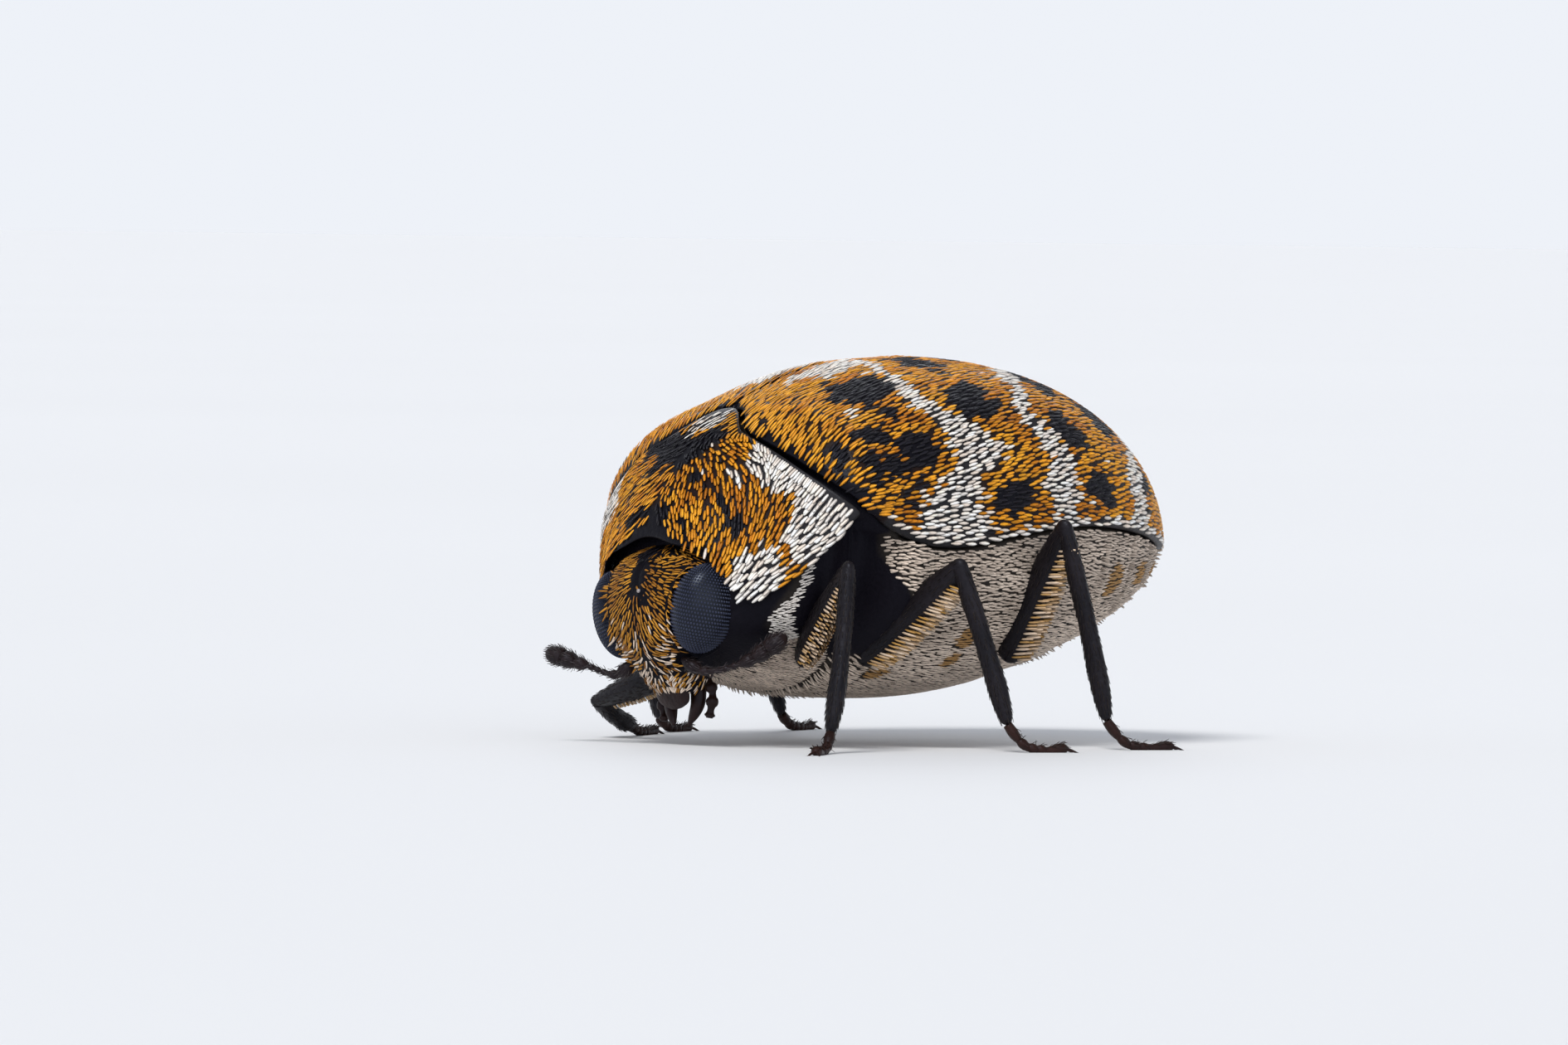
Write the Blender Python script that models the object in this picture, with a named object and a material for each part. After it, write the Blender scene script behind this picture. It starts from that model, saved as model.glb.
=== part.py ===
"""Varied carpet beetle, life size, standing with its legs as in a walk.

Every size below is in millimetres, in the body frame: X to the animal's left, Y from the
pronotum's front margin back to the wing cases' tip, and Z up, with Z = 0 at the pronotum's hind
corners. finish() leans the body to its stance, sets it on the floor Z = 0 with the origin under
the middle of its bounding box, and turns millimetres into metres. The animal faces -Y.
"""

import math

import bmesh
import bpy
import numpy as np
from mathutils import Matrix, Vector

MM = 0.001
GAP = 0.010
SHELL = 0.055
UNDER_SHELL = SHELL + 0.020

LEAN = math.radians(4.3)
FLOOR_BELOW = 0.960
MIDDLE = (0.041, 1.285)

WIDEST = 1.15
HIGHEST = 1.30
BODY_END = 2.70
BELLY_END = BODY_END - 0.03
TIP_HEIGHT = -0.20

# How the body closes behind, in plan and from the side, and how full its arches are.
PLAN_CLOSING = (2.3, 0.5)
SIDE_CLOSING = (2.25, 0.52)
ARCH_ACROSS, ARCH_UP = 0.92, 0.86
BELLY_ACROSS = 0.95

# The pronotum's front margin sweeps back at the sides. Its hind margin has a middle lobe and
# a bay on each side, and runs back again to the hind corners.
FRONT_SWEEP, FRONT_SWEEP_POWER = 0.165, 1.2
BAY = 0.352
LOBE, LOBE_SPREAD = 0.153, 0.20
CORNER, CORNER_START = 0.153, math.radians(30)

PROTHORAX = (0.10, 0.555)
MESOTHORAX = (0.565, 0.685)
METATHORAX_START = 0.695

QUARTER = math.pi / 2
LEFT, RIGHT = 1, -1

# The animal leans to its right, so the floor rises towards that side in the body frame.
ROW_FROM_BODY = (
    Matrix.Scale(MM, 4)
    @ Matrix.Translation((-MIDDLE[0], -MIDDLE[1], FLOOR_BELOW * math.cos(LEAN)))
    @ Matrix.Rotation(-LEAN, 4, "Y")
)


def floor_height(x):
    return -FLOOR_BELOW - x * math.tan(LEAN)


def through(*knots):
    """A smooth function through (place, value) knots, in cubic pieces."""
    at = np.array([knot[0] for knot in knots])
    value = np.array([knot[1] for knot in knots])
    slope = np.gradient(value, at)

    def smooth(place):
        place = np.clip(place, at[0], at[-1])
        i = np.clip(np.searchsorted(at, place) - 1, 0, len(at) - 2)
        step = at[i + 1] - at[i]
        s = (place - at[i]) / step
        start = (1 + 2 * s) * (1 - s) ** 2 * value[i] + s * (1 - s) ** 2 * step * slope[i]
        end = s * s * (3 - 2 * s) * value[i + 1] + s * s * (s - 1) * step * slope[i + 1]
        return start + end

    return smooth


def closing(y, start, end, fullness, power):
    """1 up to start, then falling to 0 at end like the end of a superellipse."""
    s = np.clip((y - start) / (end - start), 0, 1)
    return (1 - s**fullness) ** power


# The back's half-width, its height along the middle and the height of its side edge.
half_width = through(
    (0.0, 0.36), (0.1, 0.43), (0.2, 0.54), (0.33, 0.71), (0.43, 0.81),
    (0.52, 0.87), (0.75, 0.92), (WIDEST, 0.955),
)
mid_height = through(
    (-0.06, -0.20), (0.0, -0.07), (0.06, 0.07), (0.14, 0.19), (0.28, 0.34),
    (0.45, 0.465), (0.68, 0.575), (0.95, 0.665), (HIGHEST, 0.70),
)
edge_height = through(
    (0.0, -0.43), (0.15, -0.39), (0.25, -0.32), (0.33, -0.24), (0.43, -0.11),
    (0.52, -0.02), (0.62, -0.08), (0.78, -0.15), (0.97, -0.17), (1.25, -0.13),
    (1.6, -0.085), (2.2, -0.11), (BODY_END, TIP_HEIGHT),
)
# The belly's lowest line, and how far its flanks stand in from the side edge.
belly_height = through(
    (0.05, -0.54), (0.2, -0.62), (0.4, -0.69), (0.7, -0.745), (1.0, -0.77),
    (1.4, -0.765), (1.8, -0.69), (2.2, -0.55), (2.45, -0.42), (2.6, -0.31), (2.65, -0.25),
)
flank_inset = through(
    (0.05, 0.10), (0.3, 0.07), (0.44, 0.10), (0.54, 0.17), (0.62, 0.19), (0.70, 0.05),
    (0.85, 0.03), (1.5, 0.03), (2.7, 0.03),
)


def full_arch(turn):
    """The back's section from -90 to 90 degrees: an arch a little fuller than half an ellipse."""
    across = np.sign(np.sin(turn)) * np.abs(np.sin(turn)) ** ARCH_ACROSS
    return across, np.abs(np.cos(turn)) ** ARCH_UP


def back_point(y, turn, inset=0.0):
    """A point of the back. turn runs from -90 degrees at the right edge to 90 at the left."""
    end = BODY_END - inset
    width = (half_width(y) - inset) * closing(y, WIDEST, end, *PLAN_CLOSING)
    edge = edge_height(y)
    ahead = mid_height(np.minimum(y, HIGHEST) - inset * (y < HIGHEST)) - inset
    top = TIP_HEIGHT + (ahead - TIP_HEIGHT) * closing(y, HIGHEST, end, *SIDE_CLOSING)
    across, up = full_arch(turn)
    return np.stack([width * across, y + 0 * turn, edge + (top - edge) * up], -1)


def belly_point(y, turn, inset=0.0):
    """A point of the underside. turn runs from 0 at the left edge through 90 at the belly's middle to 180."""
    end = BELLY_END - inset
    width = (half_width(y) - flank_inset(y) - inset) * closing(y, WIDEST, end, *PLAN_CLOSING)
    top = edge_height(y) - GAP
    low = belly_height(y) + inset
    across = np.sign(np.cos(turn)) * np.abs(np.cos(turn)) ** BELLY_ACROSS
    return np.stack([width * across, y + 0 * turn, top - (top - low) * np.sin(turn)], -1)


def pronotum_front(turn):
    return FRONT_SWEEP * (1 - np.cos(turn)) ** FRONT_SWEEP_POWER


def pronotum_back(turn):
    lobe = LOBE * np.exp(-((turn / LOBE_SPREAD) ** 2))
    outwards = (np.abs(turn) - CORNER_START) / (QUARTER - CORNER_START)
    return BAY + lobe + CORNER * np.clip(outwards, 0, 1) ** 2


# Meshes

MERGE = 2e-4
DEGENERATE = 1e-4
SHARP = math.radians(50)


def mesh_object(name, points, faces):
    """A closed mesh object from points in body millimetres, with its faces turned outwards."""
    mesh = bpy.data.meshes.new(name)
    mesh.from_pydata([tuple(map(float, p)) for p in points], [], [tuple(map(int, f)) for f in faces])
    work = bmesh.new()
    work.from_mesh(mesh)
    bmesh.ops.remove_doubles(work, verts=work.verts, dist=1e-5)
    bmesh.ops.triangulate(work, faces=work.faces)
    bmesh.ops.recalc_face_normals(work, faces=work.faces)
    if work.calc_volume(signed=True) < 0:
        bmesh.ops.reverse_faces(work, faces=work.faces)
    work.to_mesh(mesh)
    work.free()
    thing = bpy.data.objects.new(name, mesh)
    bpy.context.scene.collection.objects.link(thing)
    return thing


def from_rings(name, rings):
    """A closed tube through rings of equal length, with a fan of faces over each end."""
    rings = [np.asarray(ring) for ring in rings]
    sides = len(rings[0])
    points = np.vstack([*rings, rings[0].mean(0), rings[-1].mean(0)])
    faces = []
    for k in range(len(rings) - 1):
        for i in range(sides):
            a, b = k * sides + i, k * sides + (i + 1) % sides
            faces.append((a, b, b + sides, a + sides))
    first, last = len(points) - 2, len(points) - 1
    start = (len(rings) - 1) * sides
    for i in range(sides):
        j = (i + 1) % sides
        faces.append((first, j, i))
        faces.append((last, start + i, start + j))
    return mesh_object(name, points, faces)


def from_sheets(name, outer, inner):
    """A closed shell between two grids of the same shape."""
    rows, columns = outer.shape[:2]
    points = np.vstack([outer.reshape(-1, 3), inner.reshape(-1, 3)])
    under = rows * columns

    def at(row, column):
        return row * columns + column

    faces = []
    for r in range(rows - 1):
        for c in range(columns - 1):
            quad = (at(r, c), at(r, c + 1), at(r + 1, c + 1), at(r + 1, c))
            faces.append(quad)
            faces.append(tuple(i + under for i in reversed(quad)))
    rim = [(at(0, c), at(0, c + 1)) for c in range(columns - 1)]
    rim += [(at(r, columns - 1), at(r + 1, columns - 1)) for r in range(rows - 1)]
    rim += [(at(rows - 1, c + 1), at(rows - 1, c)) for c in range(columns - 1)]
    rim += [(at(r + 1, 0), at(r, 0)) for r in range(rows - 1)]
    faces += [(b, a, a + under, b + under) for a, b in rim]
    return mesh_object(name, points, faces)


def ball(name, centre, radii, turned=None, rings=10, sides=16):
    """An ellipsoid. turned is a rotation matrix."""
    turned = np.eye(3) if turned is None else np.array(turned)
    levels = np.linspace(0, math.pi, rings + 1)
    spin = np.linspace(0, 2 * math.pi, sides, endpoint=False)
    made = []
    for level in levels:
        circle = np.stack(
            [np.sin(level) * np.cos(spin), np.sin(level) * np.sin(spin), 0 * spin + np.cos(level)], -1
        )
        made.append((circle * radii) @ turned.T + centre)
    return from_rings(name, made)


def smooth_path(stations, steps):
    """Points and further values along a smooth curve through stations, each (place, x, y, z, ...)."""
    stations = np.array(stations, float)
    places = np.linspace(stations[0, 0], stations[-1, 0], steps)
    columns = [through(*zip(stations[:, 0], stations[:, k]))(places) for k in range(1, stations.shape[1])]
    return np.stack(columns, -1)


def tube_rings(path, wide, thick, sides, flat_along=(0, 0, 1)):
    """Elliptical rings along a path: thick is the half-size along flat_along, wide the other one."""
    path = np.asarray(path, float)
    wide = np.broadcast_to(wide, len(path))
    thick = np.broadcast_to(thick, len(path))
    ahead = np.gradient(path, axis=0)
    spin = np.linspace(0, 2 * math.pi, sides, endpoint=False)
    rings = []
    for centre, way, a, b in zip(path, ahead, wide, thick):
        way = way / np.linalg.norm(way)
        across = np.cross(flat_along, way)
        across = across / np.linalg.norm(across)
        up = np.cross(way, across)
        rings.append(centre + np.outer(np.cos(spin) * a, across) + np.outer(np.sin(spin) * b, up))
    return rings


def apply_boolean(thing, others, operation):
    """The Boolean of thing with each of others, applied. Only its largest closed surface is kept."""
    bin_ = bpy.data.collections.new("operands")
    bpy.context.scene.collection.children.link(bin_)
    for other in others:
        bin_.objects.link(other)
    modifier = thing.modifiers.new("join", "BOOLEAN")
    modifier.operation = operation
    modifier.solver = "EXACT"
    modifier.operand_type = "COLLECTION"
    modifier.collection = bin_
    bpy.context.view_layer.update()
    graph = bpy.context.evaluated_depsgraph_get()
    made = bpy.data.meshes.new_from_object(thing.evaluated_get(graph))
    thing.modifiers.remove(modifier)
    thing.data = made
    for other in others:
        bpy.data.objects.remove(other)
    bpy.data.collections.remove(bin_)
    keep_largest(thing)
    return thing


def keep_largest(thing):
    work = bmesh.new()
    work.from_mesh(thing.data)
    bmesh.ops.remove_doubles(work, verts=work.verts, dist=MERGE)
    bmesh.ops.dissolve_degenerate(work, edges=work.edges, dist=DEGENERATE)
    bmesh.ops.triangulate(work, faces=work.faces)
    unseen = set(work.verts)
    best = set()
    while unseen:
        stack = [unseen.pop()]
        group = set(stack)
        while stack:
            for edge in stack.pop().link_edges:
                for vertex in edge.verts:
                    if vertex in unseen:
                        unseen.discard(vertex)
                        group.add(vertex)
                        stack.append(vertex)
        if len(group) > len(best):
            best = group
    bmesh.ops.delete(work, geom=[v for v in work.verts if v not in best], context="VERTS")
    bmesh.ops.recalc_face_normals(work, faces=work.faces)
    if work.calc_volume(signed=True) < 0:
        bmesh.ops.reverse_faces(work, faces=work.faces)
    work.to_mesh(thing.data)
    work.free()


def swollen(thing, by=GAP):
    """A copy of thing that is larger by a gap all over, to cut room for it in a neighbour."""
    mesh = thing.data.copy()
    normals = [Vector(v.normal) for v in mesh.vertices]
    for vertex, normal in zip(mesh.vertices, normals):
        vertex.co += normal * by
    copy = bpy.data.objects.new(thing.name + "_room", mesh)
    bpy.context.scene.collection.objects.link(copy)
    return copy


def cut_round(thing, neighbours, by=GAP):
    """Cuts thing back to a gap from its neighbours."""
    return apply_boolean(thing, [swollen(n, by) for n in neighbours], "DIFFERENCE")


def fused(pieces):
    """One closed body from overlapping pieces."""
    return apply_boolean(pieces[0], pieces[1:], "UNION")


# The back


def pronotum():
    turn = np.linspace(-QUARTER, QUARTER, 25)
    front, back = pronotum_front(turn), pronotum_back(turn)
    share = np.linspace(0, 1, 10)[:, None] ** 1.15
    y = front + (back - front) * share
    return from_sheets("pronotum", back_point(y, turn + 0 * y), back_point(y, turn + 0 * y, SHELL))


def elytron(name, side):
    """One wing case: a shell from the pronotum's hind margin to the tip, split from its twin at the seam."""
    turn = np.linspace(0, QUARTER, 13)
    front = pronotum_back(turn) + GAP * 2
    share = np.sin(np.linspace(0, QUARTER, 19))[:, None]
    grids = []
    for inset in (0.0, SHELL):
        end = BODY_END - inset
        y = front + (end - front) * share
        grid = back_point(y, turn + 0 * y, inset)
        grid[..., 0] = side * np.maximum(grid[..., 0], GAP / 2)
        grids.append(grid)
    return from_sheets(name, *grids)


# The underside. Each ring is a back line under the shell and the belly's line.

belly_sag = through(
    (0.05, 0.0), (0.56, 0.10), (0.69, 0.15), (1.55, 0.05), (1.86, 0.05), (2.3, 0.04), (2.7, 0.0)
)


def core_ring(y, step=0.0):
    """The body under the shells at y. step draws the belly in, as at the front of each segment."""
    over = np.linspace(-QUARTER, QUARTER, 15)
    under = np.linspace(0, math.pi, 21)
    dorsal = back_point(np.full(len(over), y), over, UNDER_SHELL)
    sag = belly_sag(y) * np.sin(under) ** 2
    return np.vstack([dorsal, belly_point(y + sag, under, step)])


def core_piece(name, start, end, rings, step=0.0):
    """A body segment from start to end, where rings counts its rings."""
    places = np.linspace(start, end, rings)
    steps = step * (1 - (places - start) / (end - start))
    return from_rings(name, [core_ring(y, s) for y, s in zip(places, steps)])


SEGMENT_STEP = 0.016
ABDOMEN_JOINTS = (1.56, 1.86, 2.09, 2.28, 2.44, 2.57)


def abdomen(index):
    start, end = ABDOMEN_JOINTS[index - 1], ABDOMEN_JOINTS[index]
    return core_piece(f"abdomen_{index}", start + GAP * (index > 1), end, 4, SEGMENT_STEP)


# The head

HEAD_TOP, HEAD_LOW = -0.10, -0.74
head_width = through(
    (HEAD_LOW, 0.125), (-0.70, 0.155), (-0.64, 0.195), (-0.56, 0.26), (-0.47, 0.32),
    (-0.36, 0.35), (-0.25, 0.33), (-0.16, 0.25), (HEAD_TOP, 0.10),
)
head_front = through(
    (HEAD_LOW, 0.10), (-0.70, 0.06), (-0.64, 0.015), (-0.54, -0.045), (-0.43, -0.08),
    (-0.31, -0.075), (-0.21, -0.03), (-0.14, 0.03), (HEAD_TOP, 0.11),
)
HEAD_ACROSS, HEAD_ALONG = 0.86, 0.94
head_rear = through(
    (HEAD_LOW, 0.22), (-0.68, 0.28), (-0.55, 0.36), (-0.38, 0.38), (-0.20, 0.32), (HEAD_TOP, 0.22)
)


def head_ring(z, sides=28):
    """The head's outline at height z, flatter in front than a plain ellipse."""
    spin = np.linspace(0, 2 * math.pi, sides, endpoint=False)
    middle, deep = (head_front(z) + head_rear(z)) / 2, (head_rear(z) - head_front(z)) / 2
    across = np.sign(np.cos(spin)) * np.abs(np.cos(spin)) ** HEAD_ACROSS
    along = np.sign(np.sin(spin)) * np.abs(np.sin(spin)) ** HEAD_ALONG
    return np.stack([head_width(z) * across, middle + deep * along, z + 0 * spin], -1)


def head_capsule():
    levels = HEAD_LOW + (HEAD_TOP - HEAD_LOW) * (1 - np.cos(np.linspace(0, math.pi, 15))) / 2
    return from_rings("head", [head_ring(z) for z in levels])


EYE_PLACE = (0.280, 0.080, -0.390)
EYE_RADII = (0.100, 0.135, 0.188)


def eye_turn(side):
    """The eye leans back at its top and faces outwards and a little forwards."""
    lean = Matrix.Rotation(math.radians(-10), 3, "X")
    toe = Matrix.Rotation(math.radians(-22 * side), 3, "Z")
    tip = Matrix.Rotation(math.radians(10 * side), 3, "Y")
    return toe @ lean @ tip


def eye(name, side):
    x, y, z = EYE_PLACE
    return ball(name, (side * x, y, z), EYE_RADII, eye_turn(side), rings=12, sides=18)


LIP = ((0, 0, 0.125, -0.72), (1, 0, 0.135, -0.765), (2, 0, 0.15, -0.80))
LIP_WIDTHS = (0.1, 0.105, 0.1, 0.085, 0.055)
LIP_THICK = 0.028


def labrum():
    """The short lip plate under the face."""
    path = smooth_path(LIP, len(LIP_WIDTHS))
    return from_rings("labrum", tube_rings(path, LIP_WIDTHS, LIP_THICK, 14, (0, 1, 0)))


JAW = ((0, 0.085, 0.20, -0.70), (1, 0.088, 0.19, -0.79), (2, 0.050, 0.17, -0.875))
JAW_THICK = through((0, 0.040), (0.5, 0.034), (0.8, 0.022), (1, 0.008))
JAW_FLATNESS = 0.8
PALP = ((0, 0.13, 0.21, -0.67), (1, 0.165, 0.21, -0.75), (2, 0.150, 0.20, -0.85))
PALP_THICK, PALP_SWELL, PALP_TIP = 0.021, 0.006, 0.008


def on_side(stations, side):
    """The left side's path stations, mirrored for the right."""
    return [(place, side * x, y, z) for place, x, y, z in stations]


def mandible(name, side):
    """A stout jaw that curves in to a point under the lip."""
    path = smooth_path(on_side(JAW, side), 7)
    thick = JAW_THICK(np.linspace(0, 1, len(path)))
    return from_rings(name, tube_rings(path, thick, thick * JAW_FLATNESS, 8, (0, 1, 0)))


def palp(name, side):
    """A maxillary palp of short joints, hanging beside the jaw."""
    path = smooth_path(on_side(PALP, side), 11)
    thick = PALP_THICK + PALP_SWELL * np.cos(np.linspace(0, 6 * math.pi, len(path)))
    thick[-1] = PALP_TIP
    return from_rings(name, tube_rings(path, thick, thick, 8, (0, 1, 0)))


# Antennae: a stout first joint, a thin beaded stalk and a three-jointed club.

ANTENNA_JOINTS = (
    (0.00, 0.018), (0.045, 0.034), (0.09, 0.034), (0.115, 0.020), (0.14, 0.026), (0.165, 0.020),
    (0.185, 0.013), (0.205, 0.017), (0.225, 0.013), (0.245, 0.017), (0.265, 0.013), (0.285, 0.018),
    (0.305, 0.015), (0.335, 0.030), (0.365, 0.035), (0.380, 0.032), (0.41, 0.043), (0.44, 0.047),
    (0.455, 0.044), (0.49, 0.051), (0.53, 0.047), (0.56, 0.030), (0.575, 0.010),
)
ANTENNA_LENGTH = ANTENNA_JOINTS[-1][0]
ANTENNA_FLATNESS = 0.8
LEFT_ANTENNA = (
    (0.0, 0.175, 0.050, -0.600), (0.25, 0.28, 0.07, -0.655), (0.6, 0.42, 0.18, -0.625),
    (1.0, 0.565, 0.295, -0.520),
)
RIGHT_ANTENNA = (
    (0.0, -0.170, 0.055, -0.600), (0.2, -0.235, 0.035, -0.645), (0.55, -0.385, -0.03, -0.600),
    (1.0, -0.555, -0.10, -0.535),
)


def antenna(name, stations):
    path = smooth_path(stations, 60)
    reach = np.r_[0, np.cumsum(np.linalg.norm(np.diff(path, axis=0), axis=1))]
    places = np.array([joint[0] for joint in ANTENNA_JOINTS]) / ANTENNA_LENGTH * reach[-1]
    line = np.stack([np.interp(places, reach, path[:, k]) for k in range(3)], -1)
    thick = np.array([joint[1] for joint in ANTENNA_JOINTS])
    return from_rings(name, tube_rings(line, thick, thick * ANTENNA_FLATNESS, 10))


GROOVE = ((0, 0.52, 0.10, -0.50), (1, 0.665, 0.235, -0.395), (2, 0.77, 0.385, -0.245))
GROOVE_RADII = (0.03, 0.058, 0.068, 0.066, 0.055, 0.03)


def groove(side):
    """The hollow under the pronotum's side edge that the antenna's club folds into."""
    path = smooth_path(on_side(GROOVE, side), len(GROOVE_RADII))
    rings = tube_rings(path, GROOVE_RADII, GROOVE_RADII, 10)
    return from_rings(f"groove_{side}", rings)


# Legs. Each has its hip, knee, ankle and toe. The toe's height comes from the floor.

LEGS = {
    "front_left": ((0.44, 0.47, -0.63), (0.90, 0.36, -0.26), (0.95, 0.19, -0.95), (1.11, -0.03, 0)),
    "front_right": ((-0.30, 0.42, -0.62), (-0.81, 0.39, -0.74), (-0.93, 0.66, -0.845), (-1.08, 0.92, 0)),
    "middle_left": ((0.50, 0.74, -0.63), (1.04, 0.86, -0.26), (1.15, 1.00, -0.93), (1.25, 1.24, 0)),
    "middle_right": ((-0.50, 0.76, -0.60), (-1.08, 0.90, -0.24), (-1.22, 1.06, -0.81), (-1.32, 1.31, 0)),
    "hind_left": ((0.62, 1.46, -0.64), (1.08, 1.42, -0.10), (1.10, 1.60, -0.92), (1.20, 1.88, 0)),
    "hind_right": ((-0.62, 1.46, -0.64), (-1.08, 1.45, -0.11), (-1.16, 1.70, -0.80), (-1.27, 1.97, 0)),
}
THIGH = through((0, 0.045), (0.15, 0.070), (0.45, 0.076), (0.8, 0.058), (1, 0.040))
SHIN = through((0, 0.030), (0.1, 0.042), (0.5, 0.043), (0.9, 0.040), (1, 0.026))
FOOT_JOINTS = (
    (0.0, 0.024), (0.10, 0.028), (0.18, 0.020), (0.25, 0.026), (0.33, 0.019), (0.40, 0.025),
    (0.48, 0.019), (0.55, 0.024), (0.62, 0.018), (0.78, 0.022), (0.93, 0.026), (1.0, 0.014),
)
FOOT_FLATNESS = 0.95
# A foot's first joints slope down to the floor. The rest lie on it, sunk in to make their flats.
FOOT_SLOPE = through((0, 0.0), (0.12, 0.45), (0.3, 0.9), (0.45, 1.0), (1, 1.0))
FOOT_SINK = 0.75
THIGH_FLATNESS = 0.68
SHIN_FLATNESS, SHIN_BOW = 0.85, 0.012
CLAW_REACH, CLAW_SPREAD, CLAW_DROP = 0.075, 0.030, 0.026
CLAW_THICK, CLAW_TAPER = 0.0095, 0.72


def leg_plane(hip, knee, ankle):
    """The direction across a leg's plane, which its flat sides face."""
    across = np.cross(np.subtract(knee, hip), np.subtract(ankle, knee))
    return across / np.linalg.norm(across)


def thigh(name, leg):
    hip, knee, ankle = (np.array(p) for p in leg[:3])
    share = np.linspace(0, 1, 9)
    path = hip + np.outer(share, knee - hip)
    wide = THIGH(share)
    return from_rings(name, tube_rings(path, wide, wide * THIGH_FLATNESS, 12, leg_plane(hip, knee, ankle)))


def shin(name, leg):
    hip, knee, ankle = (np.array(p) for p in leg[:3])
    across = leg_plane(hip, knee, ankle)
    share = np.linspace(0, 1, 9)
    path = knee + np.outer(share, ankle - knee) + np.outer(np.sin(share * math.pi) * SHIN_BOW, across)
    wide = SHIN(share)
    return from_rings(name, tube_rings(path, wide, wide * SHIN_FLATNESS, 10, across))


def claw(place, ahead, across, side):
    """One of the two hooked claws at a foot's end."""
    share = np.linspace(0, 1, 6)
    hooked = np.sin(share * QUARTER)
    path = place + np.outer(share * CLAW_REACH, ahead) + np.outer(hooked * CLAW_SPREAD * side, across)
    path[:, 2] -= hooked**2 * CLAW_DROP
    thick = CLAW_THICK * (1 - CLAW_TAPER * share)
    return from_rings("claw", tube_rings(path, thick, thick, 6))


def foot(name, leg):
    """Five short joints and two claws. Its underside lies on the floor."""
    ankle, toe = (np.array(p) for p in leg[2:])
    share = np.array([joint[0] for joint in FOOT_JOINTS])
    thick = np.array([joint[1] for joint in FOOT_JOINTS])
    along = (toe - ankle) * (1, 1, 0)
    path = ankle + np.outer(share, along)
    lying = floor_height(path[:, 0]) + thick * FOOT_SINK
    path[:, 2] += FOOT_SLOPE(share) * (lying - ankle[2])
    tube = from_rings("foot", tube_rings(path, thick, thick * FOOT_FLATNESS, 8))
    ahead = along / np.linalg.norm(along)
    across = np.cross((0, 0, 1), ahead)
    root = path[-2]
    claws = [claw(root, ahead, across, side) for side in (LEFT, RIGHT)]
    joined = fused([tube, *claws])
    joined.name = name
    return joined


def stand_flat(thing):
    """Presses what would reach under the floor flat onto it."""
    for vertex in thing.data.vertices:
        vertex.co.z = max(vertex.co.z, floor_height(vertex.co.x))


# Assembly and finish

COLOURS = {
    "ochre_scales": ((0.50, 0.215, 0.035, 1), 0.55),
    "pale_scales": ((0.62, 0.56, 0.49, 1), 0.6),
    "black_shell": ((0.012, 0.011, 0.014, 1), 0.32),
    "eye_facets": ((0.010, 0.012, 0.022, 1), 0.28),
    "brown_shell": ((0.030, 0.016, 0.011, 1), 0.4),
}


def material(slot):
    made = bpy.data.materials.new(slot)
    made.use_nodes = True
    shader = made.node_tree.nodes["Principled BSDF"]
    colour, roughness = COLOURS[slot]
    shader.inputs["Base Color"].default_value = colour
    shader.inputs["Roughness"].default_value = roughness
    shader.inputs["Metallic"].default_value = 0.0
    made.diffuse_color = colour
    return made


def slot_of(name):
    if name.startswith("eye"):
        return "eye_facets"
    if name.startswith(("mandible", "palp", "antenna")) or name.endswith("tarsus"):
        return "brown_shell"
    if name.startswith(("metathorax", "abdomen", "prothorax")):
        return "pale_scales"
    if name.startswith(("pronotum", "elytron", "head", "labrum")):
        return "ochre_scales"
    return "black_shell"


def build():
    head = head_capsule()
    eyes = [eye("eye_left", LEFT), eye("eye_right", RIGHT)]
    shield = pronotum()
    cases = [elytron("elytron_left", LEFT), elytron("elytron_right", RIGHT)]
    prothorax = core_piece("prothorax", *PROTHORAX, 9)
    mesothorax = core_piece("mesothorax", *MESOTHORAX, 4)
    metathorax = core_piece("metathorax", METATHORAX_START, ABDOMEN_JOINTS[0] - GAP, 9)
    belly = [abdomen(index) for index in range(1, 6)]

    cut_round(shield, [head, *eyes])
    cut_round(prothorax, [head, *eyes])
    apply_boolean(prothorax, [groove(LEFT), groove(RIGHT)], "DIFFERENCE")

    mouth = [labrum(), mandible("mandible_left", LEFT), mandible("mandible_right", RIGHT)]
    mouth += [palp("palp_left", LEFT), palp("palp_right", RIGHT)]
    feelers = [antenna("antenna_left", LEFT_ANTENNA), antenna("antenna_right", RIGHT_ANTENNA)]
    for piece in [*mouth, *feelers]:
        cut_round(piece, [head])
    for piece in mouth[1:3]:
        cut_round(piece, [mouth[0]])
    cut_round(head, eyes)

    made = [head, *eyes, shield, *cases, prothorax, mesothorax, metathorax, *belly, *mouth, *feelers]
    trunk = [prothorax, mesothorax, metathorax, *belly]
    for which, leg in LEGS.items():
        femur = thigh(f"leg_{which}_femur", leg)
        tibia = shin(f"leg_{which}_tibia", leg)
        tarsus = foot(f"leg_{which}_tarsus", leg)
        cut_round(tibia, [femur])
        cut_round(tarsus, [tibia])
        cut_round(femur, trunk)
        for piece in (tibia, tarsus):
            stand_flat(piece)
        made += [femur, tibia, tarsus]
    return made


def finish(made):
    """Moves the parts to the row frame, in metres, and gives each its material."""
    slots = {slot: material(slot) for slot in COLOURS}
    for thing in made:
        thing.data.transform(ROW_FROM_BODY)
        thing.data.materials.clear()
        thing.data.materials.append(slots[slot_of(thing.name)])
        thing.data.shade_smooth()
        thing.data.set_sharp_from_angle(angle=SHARP)


def main():
    for thing in list(bpy.data.objects):
        bpy.data.objects.remove(thing)
    finish(build())


main()
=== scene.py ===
"""The looks of the varied carpet beetle: shells, skins, faceted eyes, and a coat of scales.

Sizes are in body millimetres, as in the part's source: X to the animal's left, Y from the
pronotum's front margin back, Z up. placed() turns them into the frame's metres. Each skin lies
just inside the solid that it stands for, and its scales reach the solid's surface.
"""

import math

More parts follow.
